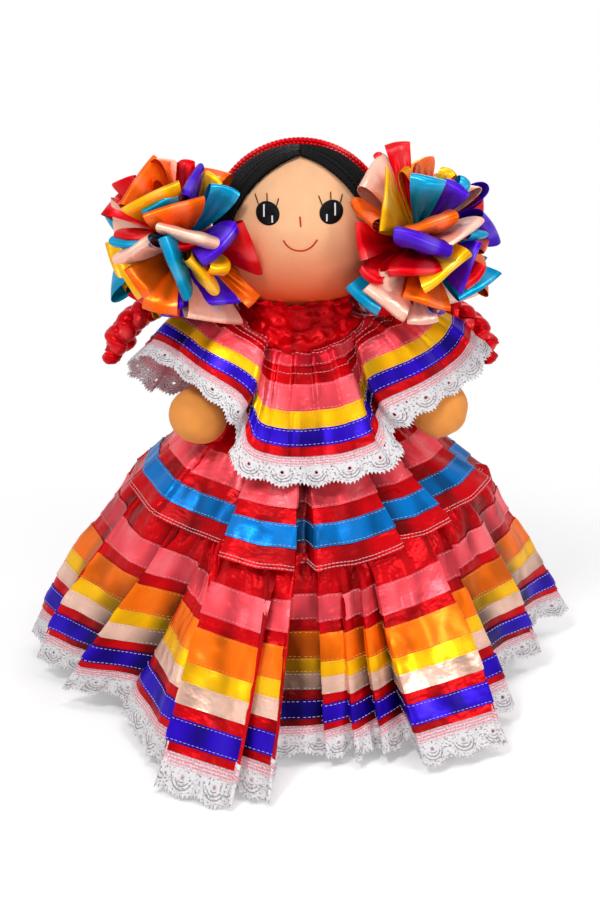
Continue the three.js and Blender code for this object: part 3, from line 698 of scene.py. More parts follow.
def cotton(name, tint, pitch=0.7, mottled=0.9, bump=0.25, low=None):
    """Matt woven cotton, which may turn towards the chin to a darker, redder colour of painted shade and bounce
    light.
    """
    material, tree, bsdf = begin(name, Sheen_Weight=0.06, Sheen_Roughness=0.5, Specular_IOR_Level=0.25)
    uv = weave(tree)
    cross = sums(tree, "MULTIPLY", *[strands(tree, uv, pitch, 0.8, 1.0, way) for way in "XY"])
    clouds = threads(tree, uv, 16, 16, 4.0)
    base = ramp(tree, clouds, colour(tint, mottled), colour(tint))
    # Painted shade and red bounce light: below the CHIN heights the colour turns to low
    if low:
        place = node(tree, "SeparateXYZ", Vector=node(tree, "TexCoord").outputs["Object"])
        base = mixed(tree, "MIX", remap(tree, place.outputs["Z"], *CHIN), colour(low), base)
    yarns = ramp(tree, cross, (0.72, 0.72, 0.72, 1), WHITE, 0.1, 0.8)
    wire(tree, bsdf,
         Base_Color=mixed(tree, "MULTIPLY", 0.2, base, yarns),
         Roughness=remap(tree, clouds, 0.3, 0.7, 0.78, 0.95),
         Normal=bumps(tree, (bump, 0.0006, clouds), (bump, 0.00025, cross)))
    return material


def yarn(name, tint, pitch=2.2, rough=0.6, light=1.4):
    """Twisted yarn or thread."""
    material, tree, bsdf = begin(name, Specular_IOR_Level=0.1)
    uv = weave(tree)
    turned = node(tree, "Mapping", Vector=uv, Rotation=(0, 0, 0.9))
    ply = strands(tree, turned.outputs["Vector"], pitch, 1.0, 2.0)
    wire(tree, bsdf,
         Base_Color=ramp(tree, ply, colour(tint, 0.7), colour(tint, light), 0.2, 0.9),
         Roughness=remap(tree, threads(tree, uv, 0.5, 3.0, 3.0), 0.3, 0.7, rough - 0.12, rough + 0.15),
         Normal=bumps(tree, (0.5, 0.0005, ply)))
    return material


def lace_cloth(name):
    """White lace: arcs below every eyelet, and above them a fine net that shows the red behind it."""
    material, tree, bsdf = begin(name, Sheen_Weight=0.05, Specular_IOR_Level=0.15)
    uv = weave(tree)
    place = node(tree, "SeparateXYZ", Vector=uv).outputs
    dx = sums(tree, "SUBTRACT", sums(tree, "MODULO", place["X"], LACE_PERIOD), LACE_PERIOD / 2)
    dy = sums(tree, "SUBTRACT", place["Y"], LACE_EYELET)
    spot = node(tree, "CombineXYZ", X=dx, Y=dy).outputs["Vector"]
    ring = node(tree, "VectorMath", {"operation": "LENGTH"}, Vector=spot).outputs["Value"]
    fuzz = threads(tree, uv, 1.2, 1.2)
    arcs = sums(tree, "SINE", sums(tree, "MULTIPLY", ring, 2 * math.pi / 2.2))
    below = sums(tree, "MULTIPLY", remap(tree, dy, 0.5, 2.5), remap(tree, ring, 8.5, 10.0, 1.0, 0.0))
    specks = remap(tree, threads(tree, uv, 1.7, 1.4, 1.0), 0.5, 0.66, 0.0, 0.85)
    specks = sums(tree, "MULTIPLY", specks, remap(tree, ring, 2.5, 4.0))
    lines = sums(tree, "MAXIMUM", sums(tree, "MULTIPLY", arcs, below), specks)
    white = ramp(tree, lines, colour("white", 0.93), colour("lace_grey"), 0.35, 0.85)
    rows = sums(tree, "SINE", sums(tree, "MULTIPLY", place["Y"], 2 * math.pi / 1.9))
    rows = sums(tree, "ADD", sums(tree, "MULTIPLY", rows, 0.12), fuzz)
    blush = ramp(tree, rows, colour("lace_pink"), colour("white"), 0.42, 0.7)
    high = sums(tree, "MULTIPLY", remap(tree, place["Y"], 9.5, 12.0, 0.95, 0.0), remap(tree, ring, 5.5, 7.0))
    net = sums(tree, "MAXIMUM", sums(tree, "MULTIPLY", layer(tree, "net"), 0.5), high)
    net = sums(tree, "MULTIPLY", net, remap(tree, place["Y"], 2.0, 3.2))
    wire(tree, bsdf,
         Base_Color=mixed(tree, "MIX", net, white, blush),
         Roughness=remap(tree, fuzz, 0.0, 1.0, 0.7, 0.95),
         Normal=bumps(tree, (0.6, 0.0004, lines), invert=True))
    return material


# deep and pale set how dark the painted shade and how white the painted highlight of each satin are
M = {name: satin(name + "_satin", name) for name in ("orange", "yellow")}
M |= {name: satin(name + "_satin", name, deep=0.25) for name in ("purple", "turquoise")}
M |= {name: satin(name + "_satin", name, painted_highlight_white=0.1, deep=0.45, crinkle=0.45)
      for name in ("coral", "coral_deep", "cream")}
M |= {name: satin(name + "_satin", name, crinkle=0.16, roughness=(0.22, 0.34), deep=0.6, painted_highlight_white=0.09)
      for name in PALETTE if name.startswith("pom_")}
M["red"] = satin("red_satin_cloth", "red", (0.28, 0.4), crinkle=0.85, anisotropic=0.2, deep=0.4, painted_highlight_white=0.0,
                 lustre=0.3)
M["skin"] = cotton("skin_cotton", "skin", low="chin")
M["hand"] = cotton("hand_cotton", "hand")
M["white"] = cotton("white_cotton_cloth", "white", bump=0.4)
M["felt"] = cotton("black_felt_cloth", "felt", pitch=1.4, mottled=0.5, bump=0.6)
M["lace"] = lace_cloth("white_lace_cloth")
M["hair"] = yarn("black_yarn_strand", "black")
M["black_thread"] = yarn("black_thread_silk", "black", pitch=0.8, rough=0.35, light=1.6)
for thread in ("pale_thread", "pink_thread", "gold_thread", "face_red"):
    M[thread] = yarn(thread + "_twist", thread, pitch=0.9, rough=0.5, light=1.1)


# Putting pieces on bodies


def stand_for(obj, slot, nodes):
    if nodes:
        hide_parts(*nodes)
    return obj


def dress(obj, body, slot, *nodes):
    """Puts a piece on a body, for the nodes that it stands for. The slot is not used."""
    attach(obj, body)
    return stand_for(obj, slot, nodes)


def bend(obj, bodies, start, end, slot, *nodes):
    """Bakes where a piece lies into its mesh, for the nodes that it stands for. Its bodies are not used."""
    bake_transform(obj)
    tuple(start)
    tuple(end)
    return stand_for(obj, slot, nodes)


def follow_arm(obj, side, slot, *nodes):
    """Bakes a piece that lies on an arm, for the nodes that it stands for."""
    start, end = [(SIGNS[side] * x, 0, ARM_BEND[2]) for x in ARM_BEND[:2]]
    return bend(obj, ("torso", f"{side}_arm"), start, end, slot, *nodes)


def ring_cloth(name, grid, tint="red", fold=None):
    """A closed ring of cloth whose face lies on the grid."""
    return make(name, shell(grid, CLOTH, True, -CLOTH), M[tint], fold=fold)


RIBBON_TINTS = ("coral", "orange", "yellow", "cream", "purple", "turquoise", "peach")
SLOTS = {tint: f"{tint}_ribbon" for tint in RIBBON_TINTS}
SLOTS["red"] = "red_satin"
STITCHED = {"purple": "pale_thread", "orange": "gold_thread", "coral": "pink_thread", "yellow": "gold_thread",
            "cream": "pale_thread", "turquoise": "pale_thread"}


# Skirt


class Tier:
    """A pleated tier between fold lines that run from its top to its edge."""

    def __init__(self, top, bottom, spacing, rounding, seed):
        self.top, self.bottom = np.array(top, float), np.array(bottom, float)
        edge = around(self.bottom[:, 0], self.bottom[:, 1], self.bottom[:, 2])
        gaps = np.linalg.norm(np.roll(edge, -1, axis=0) - edge, axis=1)
        counts = np.maximum(3, np.round(gaps / spacing).astype(int))
        self.line = np.repeat(np.arange(len(edge)), counts)
        self.share = np.concatenate([np.arange(c) / c for c in counts])
        self.n = len(self.line)
        self.rounding = rounding
        self.gathers = Folds(seed, self.n, 5, 1.4)
        self.waves = Folds(seed + 1, self.n, 3, 3.2)
        self.crumple = Folds(seed + 2, self.n, 22, 1.0)

    def puff(self, t, angle):
        """How far the cloth stands out from straight fold lines, down the tier and round it."""
        return 0.0

    def grid(self, ts):
        ts = np.asarray(ts, float)
        t = ts[:, None]
        angle, radius, z = [self.top[:, k] * (1 - t) + self.bottom[:, k] * t for k in range(3)]
        lines = around(angle, radius + self.puff(t, angle), z)
        after = np.roll(lines, -1, axis=1)
        f = self.share[None, :, None]
        grid = lines[:, self.line] * (1 - f) + after[:, self.line] * f
        grid = np.stack([soften(grid[..., k], self.rounding) for k in range(3)], axis=-1)
        return grid + slopes(grid, True) * self.relief(ts)[..., None]


class LowerTier(Tier):
    BULGE, BULGE_AT, BULGE_REACH = 2.5, 0.12, 0.08  # below the seam
    TUCK, TUCK_REACH = 14.0, 0.06  # inwards above it

    def puff(self, t, angle):
        near_seam = self.BULGE * np.exp(-((t - self.BULGE_AT) / self.BULGE_REACH) ** 2)
        near_seam = near_seam - self.TUCK * smooth(-t / self.TUCK_REACH)
        away = [((angle - side + 180) % 360 - 180) / SWELL_REACH for side, _ in SIDE_SWELL]
        swell = sum(most * np.exp(-a ** 2) for a, (_, most) in zip(away, SIDE_SWELL))
        return near_seam + swell * np.sin(np.pi * np.clip(t, 0, 1))

    def relief(self, ts):
        t = ts[:, None]
        near = np.exp(-np.maximum(t, 0) / 0.2) * smooth((t + 0.02) / 0.05)
        return (self.gathers.at(ts) * 2.6 * near + self.waves.at(ts) * 1.7 * smooth(t * 2)
                + self.crumple.at(ts) * 0.25)


class UpperTier(Tier):
    def relief(self, ts):
        t = ts[:, None]
        return self.gathers.at(ts) * 0.5 + self.waves.at(ts) * 2.0 * t + self.crumple.at(ts) * 0.2


def edge_height(degrees):
    """Height of the upper tier's lower edge, which rises at both sides."""
    return UPPER_EDGE_Z + UPPER_EDGE_RISE * np.sin(np.radians(degrees)) ** 2


def upper_edge(degrees):
    """Radius of the upper tier's lower edge at an angle."""
    lines = np.array(sorted(UPPER_FOLDS), float)
    radius = soften(np.interp(np.arange(360), lines[:, 0], lines[:, 1], period=360), 3.0)
    return np.interp(np.asarray(degrees) % 360, np.arange(360), radius, period=360)


def lower_folds():
    """All fold lines of the lower tier, with even ones at the back."""
    first, last = FOLDS_LEFT[-1], FOLDS_RIGHT[0]
    rng = np.random.RandomState(5)
    back = []
    for k in range(BACK_PLEATS):
        for share, fold in ((k, 1), (k + 0.16, 0)):
            if share == 0:
                continue
            seam, hem = [first[i] + (last[i] + 360 - first[i]) * share / BACK_PLEATS for i in (0, 1)]
            lift = 0.5 if fold and k in (3, 5, 7) else 6 + 6 * rng.rand()
            lean = 0 if fold else -1.6 if k < 5 else 0.6
            back.append((seam + lean * 0.6, hem + lean, BACK_FOLD[fold], lift))
    folds = np.array(FOLDS_LEFT + back + [(s + 360, h + 360, r, z) for s, h, r, z in FOLDS_RIGHT])
    seam_r = upper_edge(folds[:, 0]) - 5 + 8 * (folds[:, 2] - 0.88)
    top = np.stack([folds[:, 0], seam_r, edge_height(folds[:, 0]) + 1], axis=-1)
    return top, np.stack([folds[:, 1], folds[:, 2] * HEM_R, folds[:, 3]], axis=-1)


def levels(cuts, step):
    """Even levels between cuts, with every cut among them."""
    parts = [np.linspace(a, b, max(2, int(round((b - a) / step)) + 1))[:-1] for a, b in zip(cuts, cuts[1:])]
    return np.concatenate([*parts, cuts[-1:]])


def between(ts, low, high):
    return np.flatnonzero((ts >= low - 1e-9) & (ts <= high + 1e-9))


def sew(heap, form, at, gap, sizes, lift, columns=None):
    """A row of stitches along one level of a tier or of the flounce, or along some columns of it."""
    line = form.grid([at - gap, at, at + gap])
    part = slice(None) if columns is None else columns
    stitches(heap, line[1][part], slopes(line, True)[1][part], *sizes, lift, columns is None)


def sew_rows(name, thread, grid, rows, sizes):
    """Stitches along some rows of a ring of cloth."""
    heap, out = Heap(), slopes(grid, True)
    for row in rows:
        stitches(heap, grid[row], out[row], *sizes, 0.0, True)
    return dress(heap.make(name, M[thread]), "torso", "white_cotton")


def ribbons(tier, ts, bands, slant):
    """The ribbons of a tier, and by thread the stitches along both edges of each."""
    grid = tier.grid(ts)
    # deep is how far each point lies in its folds, for the ribbons' painted shade
    normals, deep = slopes(grid, True), painted_shade_depth(grid)
    made, sewn = [], {}
    for name, (start, end) in bands.items():
        tint = name.split("_")[-2]
        rows = between(ts, start / slant, end / slant)
        parts = shell(grid[rows], RIBBON, True, RIBBON_LIFT, normals[rows])
        ribbon = make(f"{name}_band", parts, M[tint], fold=deep[rows])
        made.append(dress(ribbon, "torso", SLOTS[tint], name))
        heap = sewn.setdefault(STITCHED[tint], Heap())
        width = SKIRT_BOLD if tint == "purple" else THREAD
        for at in (start + STITCH_INSET, end - STITCH_INSET):
            sew(heap, tier, at / slant, 0.002, (*STITCH, width), RIBBON_LIFT + RIBBON)
    return made, sewn


def pleated(part, tier, first, last, bands, slant, step, edge_rows=()):
    """A tier's cloth and its trims. Levels are millimetres down from its top."""
    edges = sorted({first, 0, last, *[e for band in bands.values() for e in band]})
    ts = levels(np.array(edges) / slant, step / slant)
    grid = tier.grid(ts)
    # The cloth carries its fold depth, for painted shade in its folds
    cloth = ring_cloth(f"skirt_{part}_cloth", grid, fold=painted_shade_depth(grid))
    dress(cloth, "torso", "red_satin", f"skirt_{part}_tier")
    trims, sewn = ribbons(tier, ts, bands, slant)
    for at in edge_rows:
        sew(sewn["pink_thread"], tier, at / slant, 0.5 / slant, EDGE_STITCH, 0.0)
    for thread, heap in sewn.items():
        trims.append(dress(heap.make(f"skirt_{part}_{thread}_stitches", M[thread]), "torso", "white_cotton"))
    return cloth, trims


def lower_tier():
    tier = LowerTier(*lower_folds(), spacing=3.0, rounding=0.75, seed=11)
    cloth, trims = pleated("lower", tier, LOWER_TUCK, LOWER_CLOTH_END, LOWER_BANDS, LOWER_SLANT, 3.2)
    lace_grid = tier.grid(np.linspace(LOWER_LACE_TOP / LOWER_SLANT, 1.0, 14))
    lace = lace_strip("hem_lace_trim", lace_grid, True, LACE_BEHIND, flutter=1.2, floor=0.15)
    trims.append(dress(lace, "torso", "white_lace", "hem_lace"))
    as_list(trims)


def upper_tier():
    angle, radius = np.array(UPPER_FOLDS, float).T
    top = np.stack([angle, WAIST_R + (radius - 115) * 0.15, np.full(len(angle), WAIST_Z)], axis=-1)
    bottom = np.stack([angle, radius + 1.5, edge_height(angle) - 1.5], axis=-1)
    tier = UpperTier(top, bottom, spacing=2.6, rounding=0.8, seed=23)
    cloth, trims = pleated("upper", tier, 0, UPPER_SLANT, UPPER_BANDS, UPPER_SLANT, 3.4,
                           (UPPER_SLANT - 1.2, UPPER_SLANT - 3.4))
    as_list(trims)


# Lace


def lace_field(x, y):
    """How far inside the threads of one lace motif a point is, and its relief and its share of net."""
    p, middle = LACE_PERIOD, LACE_PERIOD / 2
    dx = x - middle
    edge = LACE_WIDTH - 3.6 + 1.6 * np.cos(2 * np.pi * dx / p) + 1.3 * np.cos(2 * np.pi * x / (p / 9))
    inside = edge - y
    low = LACE_EYELET
    ring = np.hypot(dx, y - low)
    angle = np.arctan2(y - low, dx)
    holes = [ring - 1.25]
    for radius, width in ((5.2, 0.32), (7.4, 0.36)):
        below = np.maximum(-(y - low) - 0.6, np.abs(np.sin(angle * 6)) * 2 - 1.75)
        holes.append(np.maximum(np.abs(ring - radius) - width, below))
    side = np.minimum(x, p - x)
    for row, shift, size in ((0.42, 0.0, 0.8), (0.6, 1.4, 0.6), (0.75, 0.0, 0.7)):
        holes.append(np.hypot(side - shift, y - LACE_WIDTH * row) - size)
    field = np.minimum(inside, np.minimum.reduce(holes))
    relief = 0.35 * np.exp(-((ring - 2.6) / 0.8) ** 2) + 0.25 * np.exp(-((ring - 5.5) / 0.7) ** 2)
    relief += 0.25 * np.exp(-((ring - 7.6) / 0.6) ** 2)
    arch = np.abs(ring - 9.6)
    net = smooth((low - 4.5 - y) / 1.5) * smooth((y - 1.4) / 0.8) * smooth((arch - 0.8) / 0.9)
    net = np.maximum(net, smooth((2.1 - ring) / 0.5))
    return field, relief, net


def lace_motif():
    """One period of lace: flat points, faces, and the twin on its left edge of each point on its right."""
    nx = int(round(LACE_PERIOD / LACE_GRID))
    xs = np.linspace(0, LACE_PERIOD, nx + 1)
    ys = np.linspace(0, LACE_WIDTH, int(round(LACE_WIDTH / LACE_GRID)) + 1)
    values = lace_field(*np.meshgrid(xs, ys, indexing="ij"))[0]
    values[-1] = values[0]
    points, keys, faces = [], {}, []

    def point(key, place):
        if key not in keys:
            keys[key] = len(points)
            points.append(place)
        return keys[key]

    for i in range(nx):
        for j in range(len(ys) - 1):
            corners = [(i, j), (i + 1, j), (i + 1, j + 1), (i, j + 1)]
            loop = []
            for a, b in zip(corners, corners[1:] + corners[:1]):
                va, vb = values[a], values[b]
                if va > 0:
                    loop.append(point(a, (xs[a[0]], ys[a[1]])))
                if (va > 0) != (vb > 0):
                    low, high = min(a, b), max(a, b)
                    f = np.clip(values[low] / (values[low] - values[high]), 0.12, 0.88)
                    loop.append(point((low, high), (xs[low[0]] + (xs[high[0]] - xs[low[0]]) * f,
                                                    ys[low[1]] + (ys[high[1]] - ys[low[1]]) * f)))
            if len(loop) > 2:
                faces.append(loop)

    def mirrored(key):
        if isinstance(key[0], tuple):
            return tuple((0, j) for _, j in key)
        return (0, key[1])

    twins = {}
    for key, index in keys.items():
        columns = [k[0] for k in key] if isinstance(key[0], tuple) else [key[0]]
        if all(c == nx for c in columns):
            twins[index] = keys[mirrored(key)]
    return np.array(points), faces, twins


MOTIF = lace_motif()


def lace_strip(name, grid, wrap, lift, flutter=1.0, floor=None, normals=None):
    """Repeats the lace motif over a grid whose rows run from the lace's top to its edge."""
    points, faces, twins = MOTIF
    rows, size = len(grid), len(points)
    normals = slopes(grid, wrap) if normals is None else normals
    if wrap:
        grid, normals = [np.concatenate([v, v[:, :1]], axis=1) for v in (grid, normals)]
    s = lengths(grid[int(rows * 0.6)])
    count = max(1, int(round(s[-1] / LACE_PERIOD)))
    _, relief, net = lace_field(*points.T)

    def place(x, y, out):
        j = np.interp(x, s, np.arange(len(s)))
        i = y / LACE_WIDTH * (rows - 1)
        i0, j0 = np.minimum(i.astype(int), rows - 2), np.minimum(j.astype(int), len(s) - 2)
        fi, fj = (i - i0)[:, None], (j - j0)[:, None]

        def mix(v):
            return ((v[i0, j0] * (1 - fi) + v[i0 + 1, j0] * fi) * (1 - fj)
                    + (v[i0, j0 + 1] * (1 - fi) + v[i0 + 1, j0 + 1] * fi) * fj)

        wave = flutter * np.sin(2 * np.pi * x / s[-1] * count * 2) * (y / LACE_WIDTH) ** 2
        at = mix(grid) + unit(mix(normals)) * (out + wave)[:, None]
        if floor is not None:
            at[:, 2] = np.maximum(at[:, 2], floor)
        return at

    total = count if wrap else count + 1
    motif = np.repeat(np.arange(total), size)
    along, y = np.tile(points, (total, 1)).T
    x = (along / LACE_PERIOD + motif) * (s[-1] / count)
    x[count * size:] = s[-1]
    flat = []
    for k in range(count):
        index = np.arange(size) + k * size
        for right, left in twins.items():
            index[right] = left + (k + 1) % total * size
        flat += [index[f] for f in faces]
    used = np.unique(np.concatenate(flat))
    renumber = np.full(len(x), -1)
    renumber[used] = np.arange(len(used))
    flat = [renumber[f].tolist() for f in flat]
    edges = {}
    for f in flat:
        for a, b in zip(f, f[1:] + f[:1]):
            if edges.pop((b, a), None) is None:
                edges[(a, b)] = True
    n = len(used)
    both = [f[::-1] for f in flat] + [[v + n for v in f] for f in flat]
    both += [[a, b, b + n, a + n] for a, b in edges]
    front = place(x, y, lift + LACE_THICK + np.tile(relief, total))
    back = place(x, y, np.full(len(x), lift))
    uv = np.stack([along + motif * LACE_PERIOD, y], axis=-1)[used]
    obj = make(name, (np.concatenate([front[used], back[used]]), both, np.concatenate([uv, uv])), M["lace"], 60)
    point_values(obj.data, "net", np.tile(net, total)[used])
    return obj


# Flounce and collar


def closed_spline(values, n):
    """A closed smooth row through values, evenly by index."""
    x = np.arange(n) * len(values) / n
    i = x.astype(int)
    return bridge(*[values[(i + k) % len(values)] for k in (-1, 0, 1, 2)], (x - i)[:, None])


class Flounce:
    """The gathered cape: straight from the yoke to its edge, with a soft bulge and gathers."""

    def __init__(self):
        columns = FLOUNCE_COLUMNS
        right = [(a + 360, b + 360, *rest) for a, b, *rest in FLOUNCE_RIGHT]
        lines = np.array([FLOUNCE_FRONT, *FLOUNCE_LEFT, FLOUNCE_BACK, *right], float)
        at_yoke, at_edge, radius, z = lines[:, :4].T
        wide, deep, low = YOKE
        yoke = around(at_yoke, wide, low + YOKE_RISE * np.sin(np.radians(at_yoke)) ** 2, deep)
        rows = np.concatenate([yoke, around(at_edge, radius, z), lines[:, 4:]], axis=1)
        rows = closed_spline(rows, FLOUNCE_FINE)
        s = lengths(np.concatenate([rows[:, 3:6], rows[:1, 3:6]]))
        half = s[int(round(FLOUNCE_FINE * (1 + len(FLOUNCE_LEFT)) / len(lines)))]
        places = [np.linspace(a, b, columns // 2, endpoint=False) for a, b in ((0, half), (half, s[-1]))]
        picked = np.round(np.interp(np.concatenate(places), s, np.arange(FLOUNCE_FINE + 1)))
        rows = rows[picked.astype(int) % FLOUNCE_FINE]
        self.yoke, self.edge = [soften(part.T, 1.6).T for part in (rows[:, :3], rows[:, 3:6])]
        self.puff = soften(rows[:, 6], 1.6)[None, :, None]
        angle = np.degrees(np.arctan2(self.edge[:, 0], -self.edge[:, 1]))
        self.flare = 1 + sum(TURN_FLARE * np.exp(-((angle - turn) / TURN_REACH) ** 2) for turn in FLOUNCE_TURNS)
        nearest = np.argmin(np.abs(angle - np.array(FLOUNCE_PLEATS)[:, None]), axis=1)
        past = (np.arange(columns) - nearest[:, None] + columns // 2) % columns - columns // 2
        self.pleats = soften(np.where(past < 0, 0, np.exp(-past / PLEAT_COLUMNS)).sum(axis=0), 0.6)
        self.gathers = Folds(31, columns, 3, 4.2)
        self.waves = Folds(32, columns, 2, 4.5)

    def grid(self, ts):
        t = np.asarray(ts, float)[:, None]
        line = self.yoke * (1 - t[..., None]) + self.edge * t[..., None]
        late = t ** self.flare
        line[..., 0] = self.yoke[:, 0] * (1 - late) + self.edge[:, 0] * late
        bulge = np.sin(np.pi * np.clip(t[..., None], 0, 1) ** 0.7) * self.puff
        away = unit(self.edge * (1, 1, 0)) * 0.45 + np.array([0, 0, 0.9])
        line = line + away * bulge
        near = np.exp(-t / 0.4) * smooth(t / 0.06)
        relief = self.pleats * PLEAT_HEIGHT * (1 - 0.6 * t) * smooth(t / 0.08)
        relief = relief + self.gathers.at(ts) * (0.3 + 1.6 * near)
        relief = relief + self.waves.at(ts) * 2.3 * smooth(t * 1.3)
        return line + slopes(line, True) * relief[..., None]


def flounce():
    cape = Flounce()
    edges = sorted({0.0, FLOUNCE_CLOTH_END, *[e for band in FLOUNCE_BANDS.values() for e in band]})
    ts = levels(np.array(edges), 0.028)
    grid = cape.grid(ts)
    # deep is how far each point lies in its folds, for the cape's painted shade
    normals, deep = slopes(grid, True), painted_shade_depth(grid)
    lace_grid = cape.grid(np.linspace(FLOUNCE_LACE_TOP, 1.0, 12))
    lace_normals = slopes(lace_grid, True)
    ring = np.arange(FLOUNCE_COLUMNS + 1) % FLOUNCE_COLUMNS
    halves = {"left": ring[:FLOUNCE_COLUMNS // 2 + 1], "right": ring[FLOUNCE_COLUMNS // 2:]}

    def half(name, side, rows, thick, lift, material):
        """One side of some rows. The weave of the right side ends at zero, where the left one's starts."""
        part = np.ix_(rows, halves[side])
        verts, faces, uv = shell(grid[part], thick, False, lift, normals[part])
        if side == "right":
            uv = uv - [uv[:, 0].max(), 0]
        return make(f"{name}_{side}", (verts, faces, uv), material, fold=deep[part])

    for side, columns in halves.items():
        cloth = half("flounce_cloth", side, np.arange(len(ts)), CLOTH, -CLOTH, M["red"])
        follow_arm(cloth, side, "red_satin", "flounce")
        trims, sewn = [], {}
        for name, (start, end) in FLOUNCE_BANDS.items():
            tint = name.split("_")[-2]
            # The upper coral ribbon takes the coral in painted shade, as it lies under the head
            material = M["coral_deep" if "upper" in name else tint]
            trim = half(name, side, between(ts, start, end), RIBBON, RIBBON_LIFT, material)
            trims.append(follow_arm(trim, side, SLOTS[tint], name))
            heap = sewn.setdefault(STITCHED[tint], Heap())
            width = FLOUNCE_BOLD if tint == "purple" else THREAD
            for at in (start + 0.014, end - 0.014):
                sew(heap, cape, at, 0.005, (*STITCH, width), RIBBON_LIFT + RIBBON, columns)
        for at in (0.012, 0.2):
            sew(sewn["pink_thread"], cape, at, 0.005, YOKE_STITCH, 0.0, columns)
        for thread, heap in sewn.items():
            sewing = heap.make(f"flounce_{thread}_stitches_{side}", M[thread])
            trims.append(follow_arm(sewing, side, "white_cotton"))
        lace = lace_strip(f"flounce_lace_{side}", lace_grid[:, columns], False, LACE_BEHIND, 0.8,
                          normals=lace_normals[:, columns])
        trims.append(follow_arm(lace, side, "white_lace", "flounce_lace"))
        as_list(trims)


def collar():
    """A shirred stand-up collar: fine gathers drawn in at three levels, with a frilled top."""
    columns, rows = 360, 46
    gathers, crumple = Folds(41, columns, 4, 5.0), Folds(42, columns, 7, 6.5)
    shirring = Folds(43, columns, 9, 2.0)
    ts = np.linspace(0, 1, rows)
    t = ts[:, None]
    angle = full_turn(columns)
    frill = smooth((t - 0.84) / 0.16)
    out = np.abs(np.sin(np.pi * (t * 2.2 + 0.1))) + COLLAR_FRILL * frill
    z = COLLAR_Z + COLLAR_HEIGHT * t + YOKE_RISE * np.sin(np.radians(angle)) ** 2 * (1 - t)
    wide, deep = [r - d * smooth(t * 2.2) + out for r, d in zip(COLLAR_FOOT, COLLAR_DRAWN)]
    grid = around(angle, wide, z, deep)
    grid[..., 1] -= 2 + 3.0 * t
    relief = gathers.at(ts) + crumple.at(ts) + shirring.at(ts) * (0.5 + 1.1 * frill)
    grid, relief = grid[::-1], relief[::-1]
    obj = ring_cloth("collar_cloth", grid + slopes(grid, True) * relief[..., None])
    bend(obj, ("torso", "head"), NECK_LOW, (0, -0.006, 0.284), "red_satin", "collar")


# Head


def on_head(direction, out=0.0):
    """Points on the head along directions from its middle, a set distance off it."""
    d = unit(direction)
    r = 1 / np.linalg.norm(d / HEAD_R, axis=-1, keepdims=True)
    p = d * r
    return HEAD + p + unit(p / HEAD_R ** 2) * out


def on_face(x, rise, out=0.0):
    """Points on the front of the head by width and height above its middle."""
    x, rise = np.broadcast_arrays(np.asarray(x, float), np.asarray(rise, float))
    depth = -HEAD_R[1] * np.sqrt(np.maximum(0.02, 1 - (x / HEAD_R[0]) ** 2 - (rise / HEAD_R[2]) ** 2))
    p = np.stack([x, depth, rise], axis=-1)
    return HEAD + p + unit(p / HEAD_R ** 2) * np.asarray(out, float)[..., None]


def ball(centre, radii, rows, columns, relief):
    """A closed round form with its poles up and down."""
    t = np.linspace(0, np.pi, rows)[1:-1, None]
    d = around(full_turn(columns), np.sin(t), np.cos(t))
    radii = np.asarray(radii)
    grid = np.asarray(centre) + d * radii + unit(d / radii) * relief(d)[..., None]
    uv = grid_uv(grid, True)
    return *capped(grid), np.concatenate([uv, [[0, 0], [0, uv[:, 1].max()]]])


def lumps(seed, size, amount, count=9):
    """Smooth seeded unevenness by direction or by place."""
    rng = np.random.RandomState(seed)
    ways, shifts = rng.standard_normal((count, 3)) * size, rng.rand(count) * 6.3

    def relief(d):
        return amount * np.mean([np.sin(d @ w + s) for w, s in zip(ways, shifts)], axis=0) * 2

    return relief


def head():
    obj = make("head_stuffed", ball(HEAD, HEAD_R, 64, 96, lumps(51, 3.0, 0.5)), M["skin"], 0)
    dress(obj, "head", "skin_cloth", "head")


def stitched_line(heap, points, radius, steps=None):
    path = curve(points, steps or max(8, len(points) * 5))
    heap.add(*tube(path, radius, 6, up=(0, -1, 0.3)))


def face():
    rho = np.linspace(1, 0, 12)[:, None]
    a = np.radians(full_turn(EYE_SIDES))
    ex, ey = EYE_SIZE[0] * rho * np.sin(a), EYE_SIZE[1] * rho * np.cos(a)
    rows = 0.14 * np.sin(2 * np.pi * ex / 0.9)
    out = 0.25 + np.sqrt(np.maximum(0, 1 - rho ** 2)) + rows * (1 - rho ** 4)
    for node_name, (x, rise) in EYES.items():
        base = on_face(x + ex[:1], rise + ey[:1], np.full_like(ex[:1], EYE_BASE))
        grid = np.concatenate([base, on_face(x + ex, rise + ey, out)[:-1]])
        ends = [on_face(x, rise, off) for off in (EYE_BASE, EYE_TOP)]
        uv = np.stack(np.meshgrid(np.arange(EYE_SIDES) * 0.6, np.arange(len(grid)) * 0.7), axis=-1)
        uv = np.concatenate([uv.reshape(-1, 2), np.zeros((2, 2))])
        eye = make(f"{node_name}_embroidery", (*capped(grid, ends, flip=True), uv), M["black_thread"])
        dress(eye, "head", "black_thread", node_name)
    glints, lashes, nose, mouth = Heap(), Heap(), Heap(), Heap()
    for (x, rise), lean in zip(EYES.values(), (-1, 1)):
        for dx, low, high, radius in GLINTS:
            ys = np.linspace(low, high, 5)
            line = [on_face(x + lean * dx, rise + y, 1.3 - 0.006 * (y - 1) ** 2) for y in ys]
            stitched_line(glints, line, radius)
        for lash in np.array(LASHES):
            line = [on_face(*(lash[0] * (1 - f) + lash[1] * f + (x, rise)), 0.4) for f in (0, 0.5, 1)]
            stitched_line(lashes, line, 0.34)
    stitched_line(nose, [on_face(*place) for place in NOSE], 0.5)
    stitched_line(mouth, [on_face(*place, 0.4) for place in SMILE], 0.5, 40)
    dress(glints.make("eye_glint_stitches", M["white"]), "head", "white_cotton")
    dress(lashes.make("lash_stitches", M["black_thread"]), "head", "black_thread")
    dress(nose.make("nose_thread", M["face_red"]), "head", "red_satin", "nose_stitch")
    dress(mouth.make("mouth_thread", M["face_red"]), "head", "red_satin", "mouth_stitch")


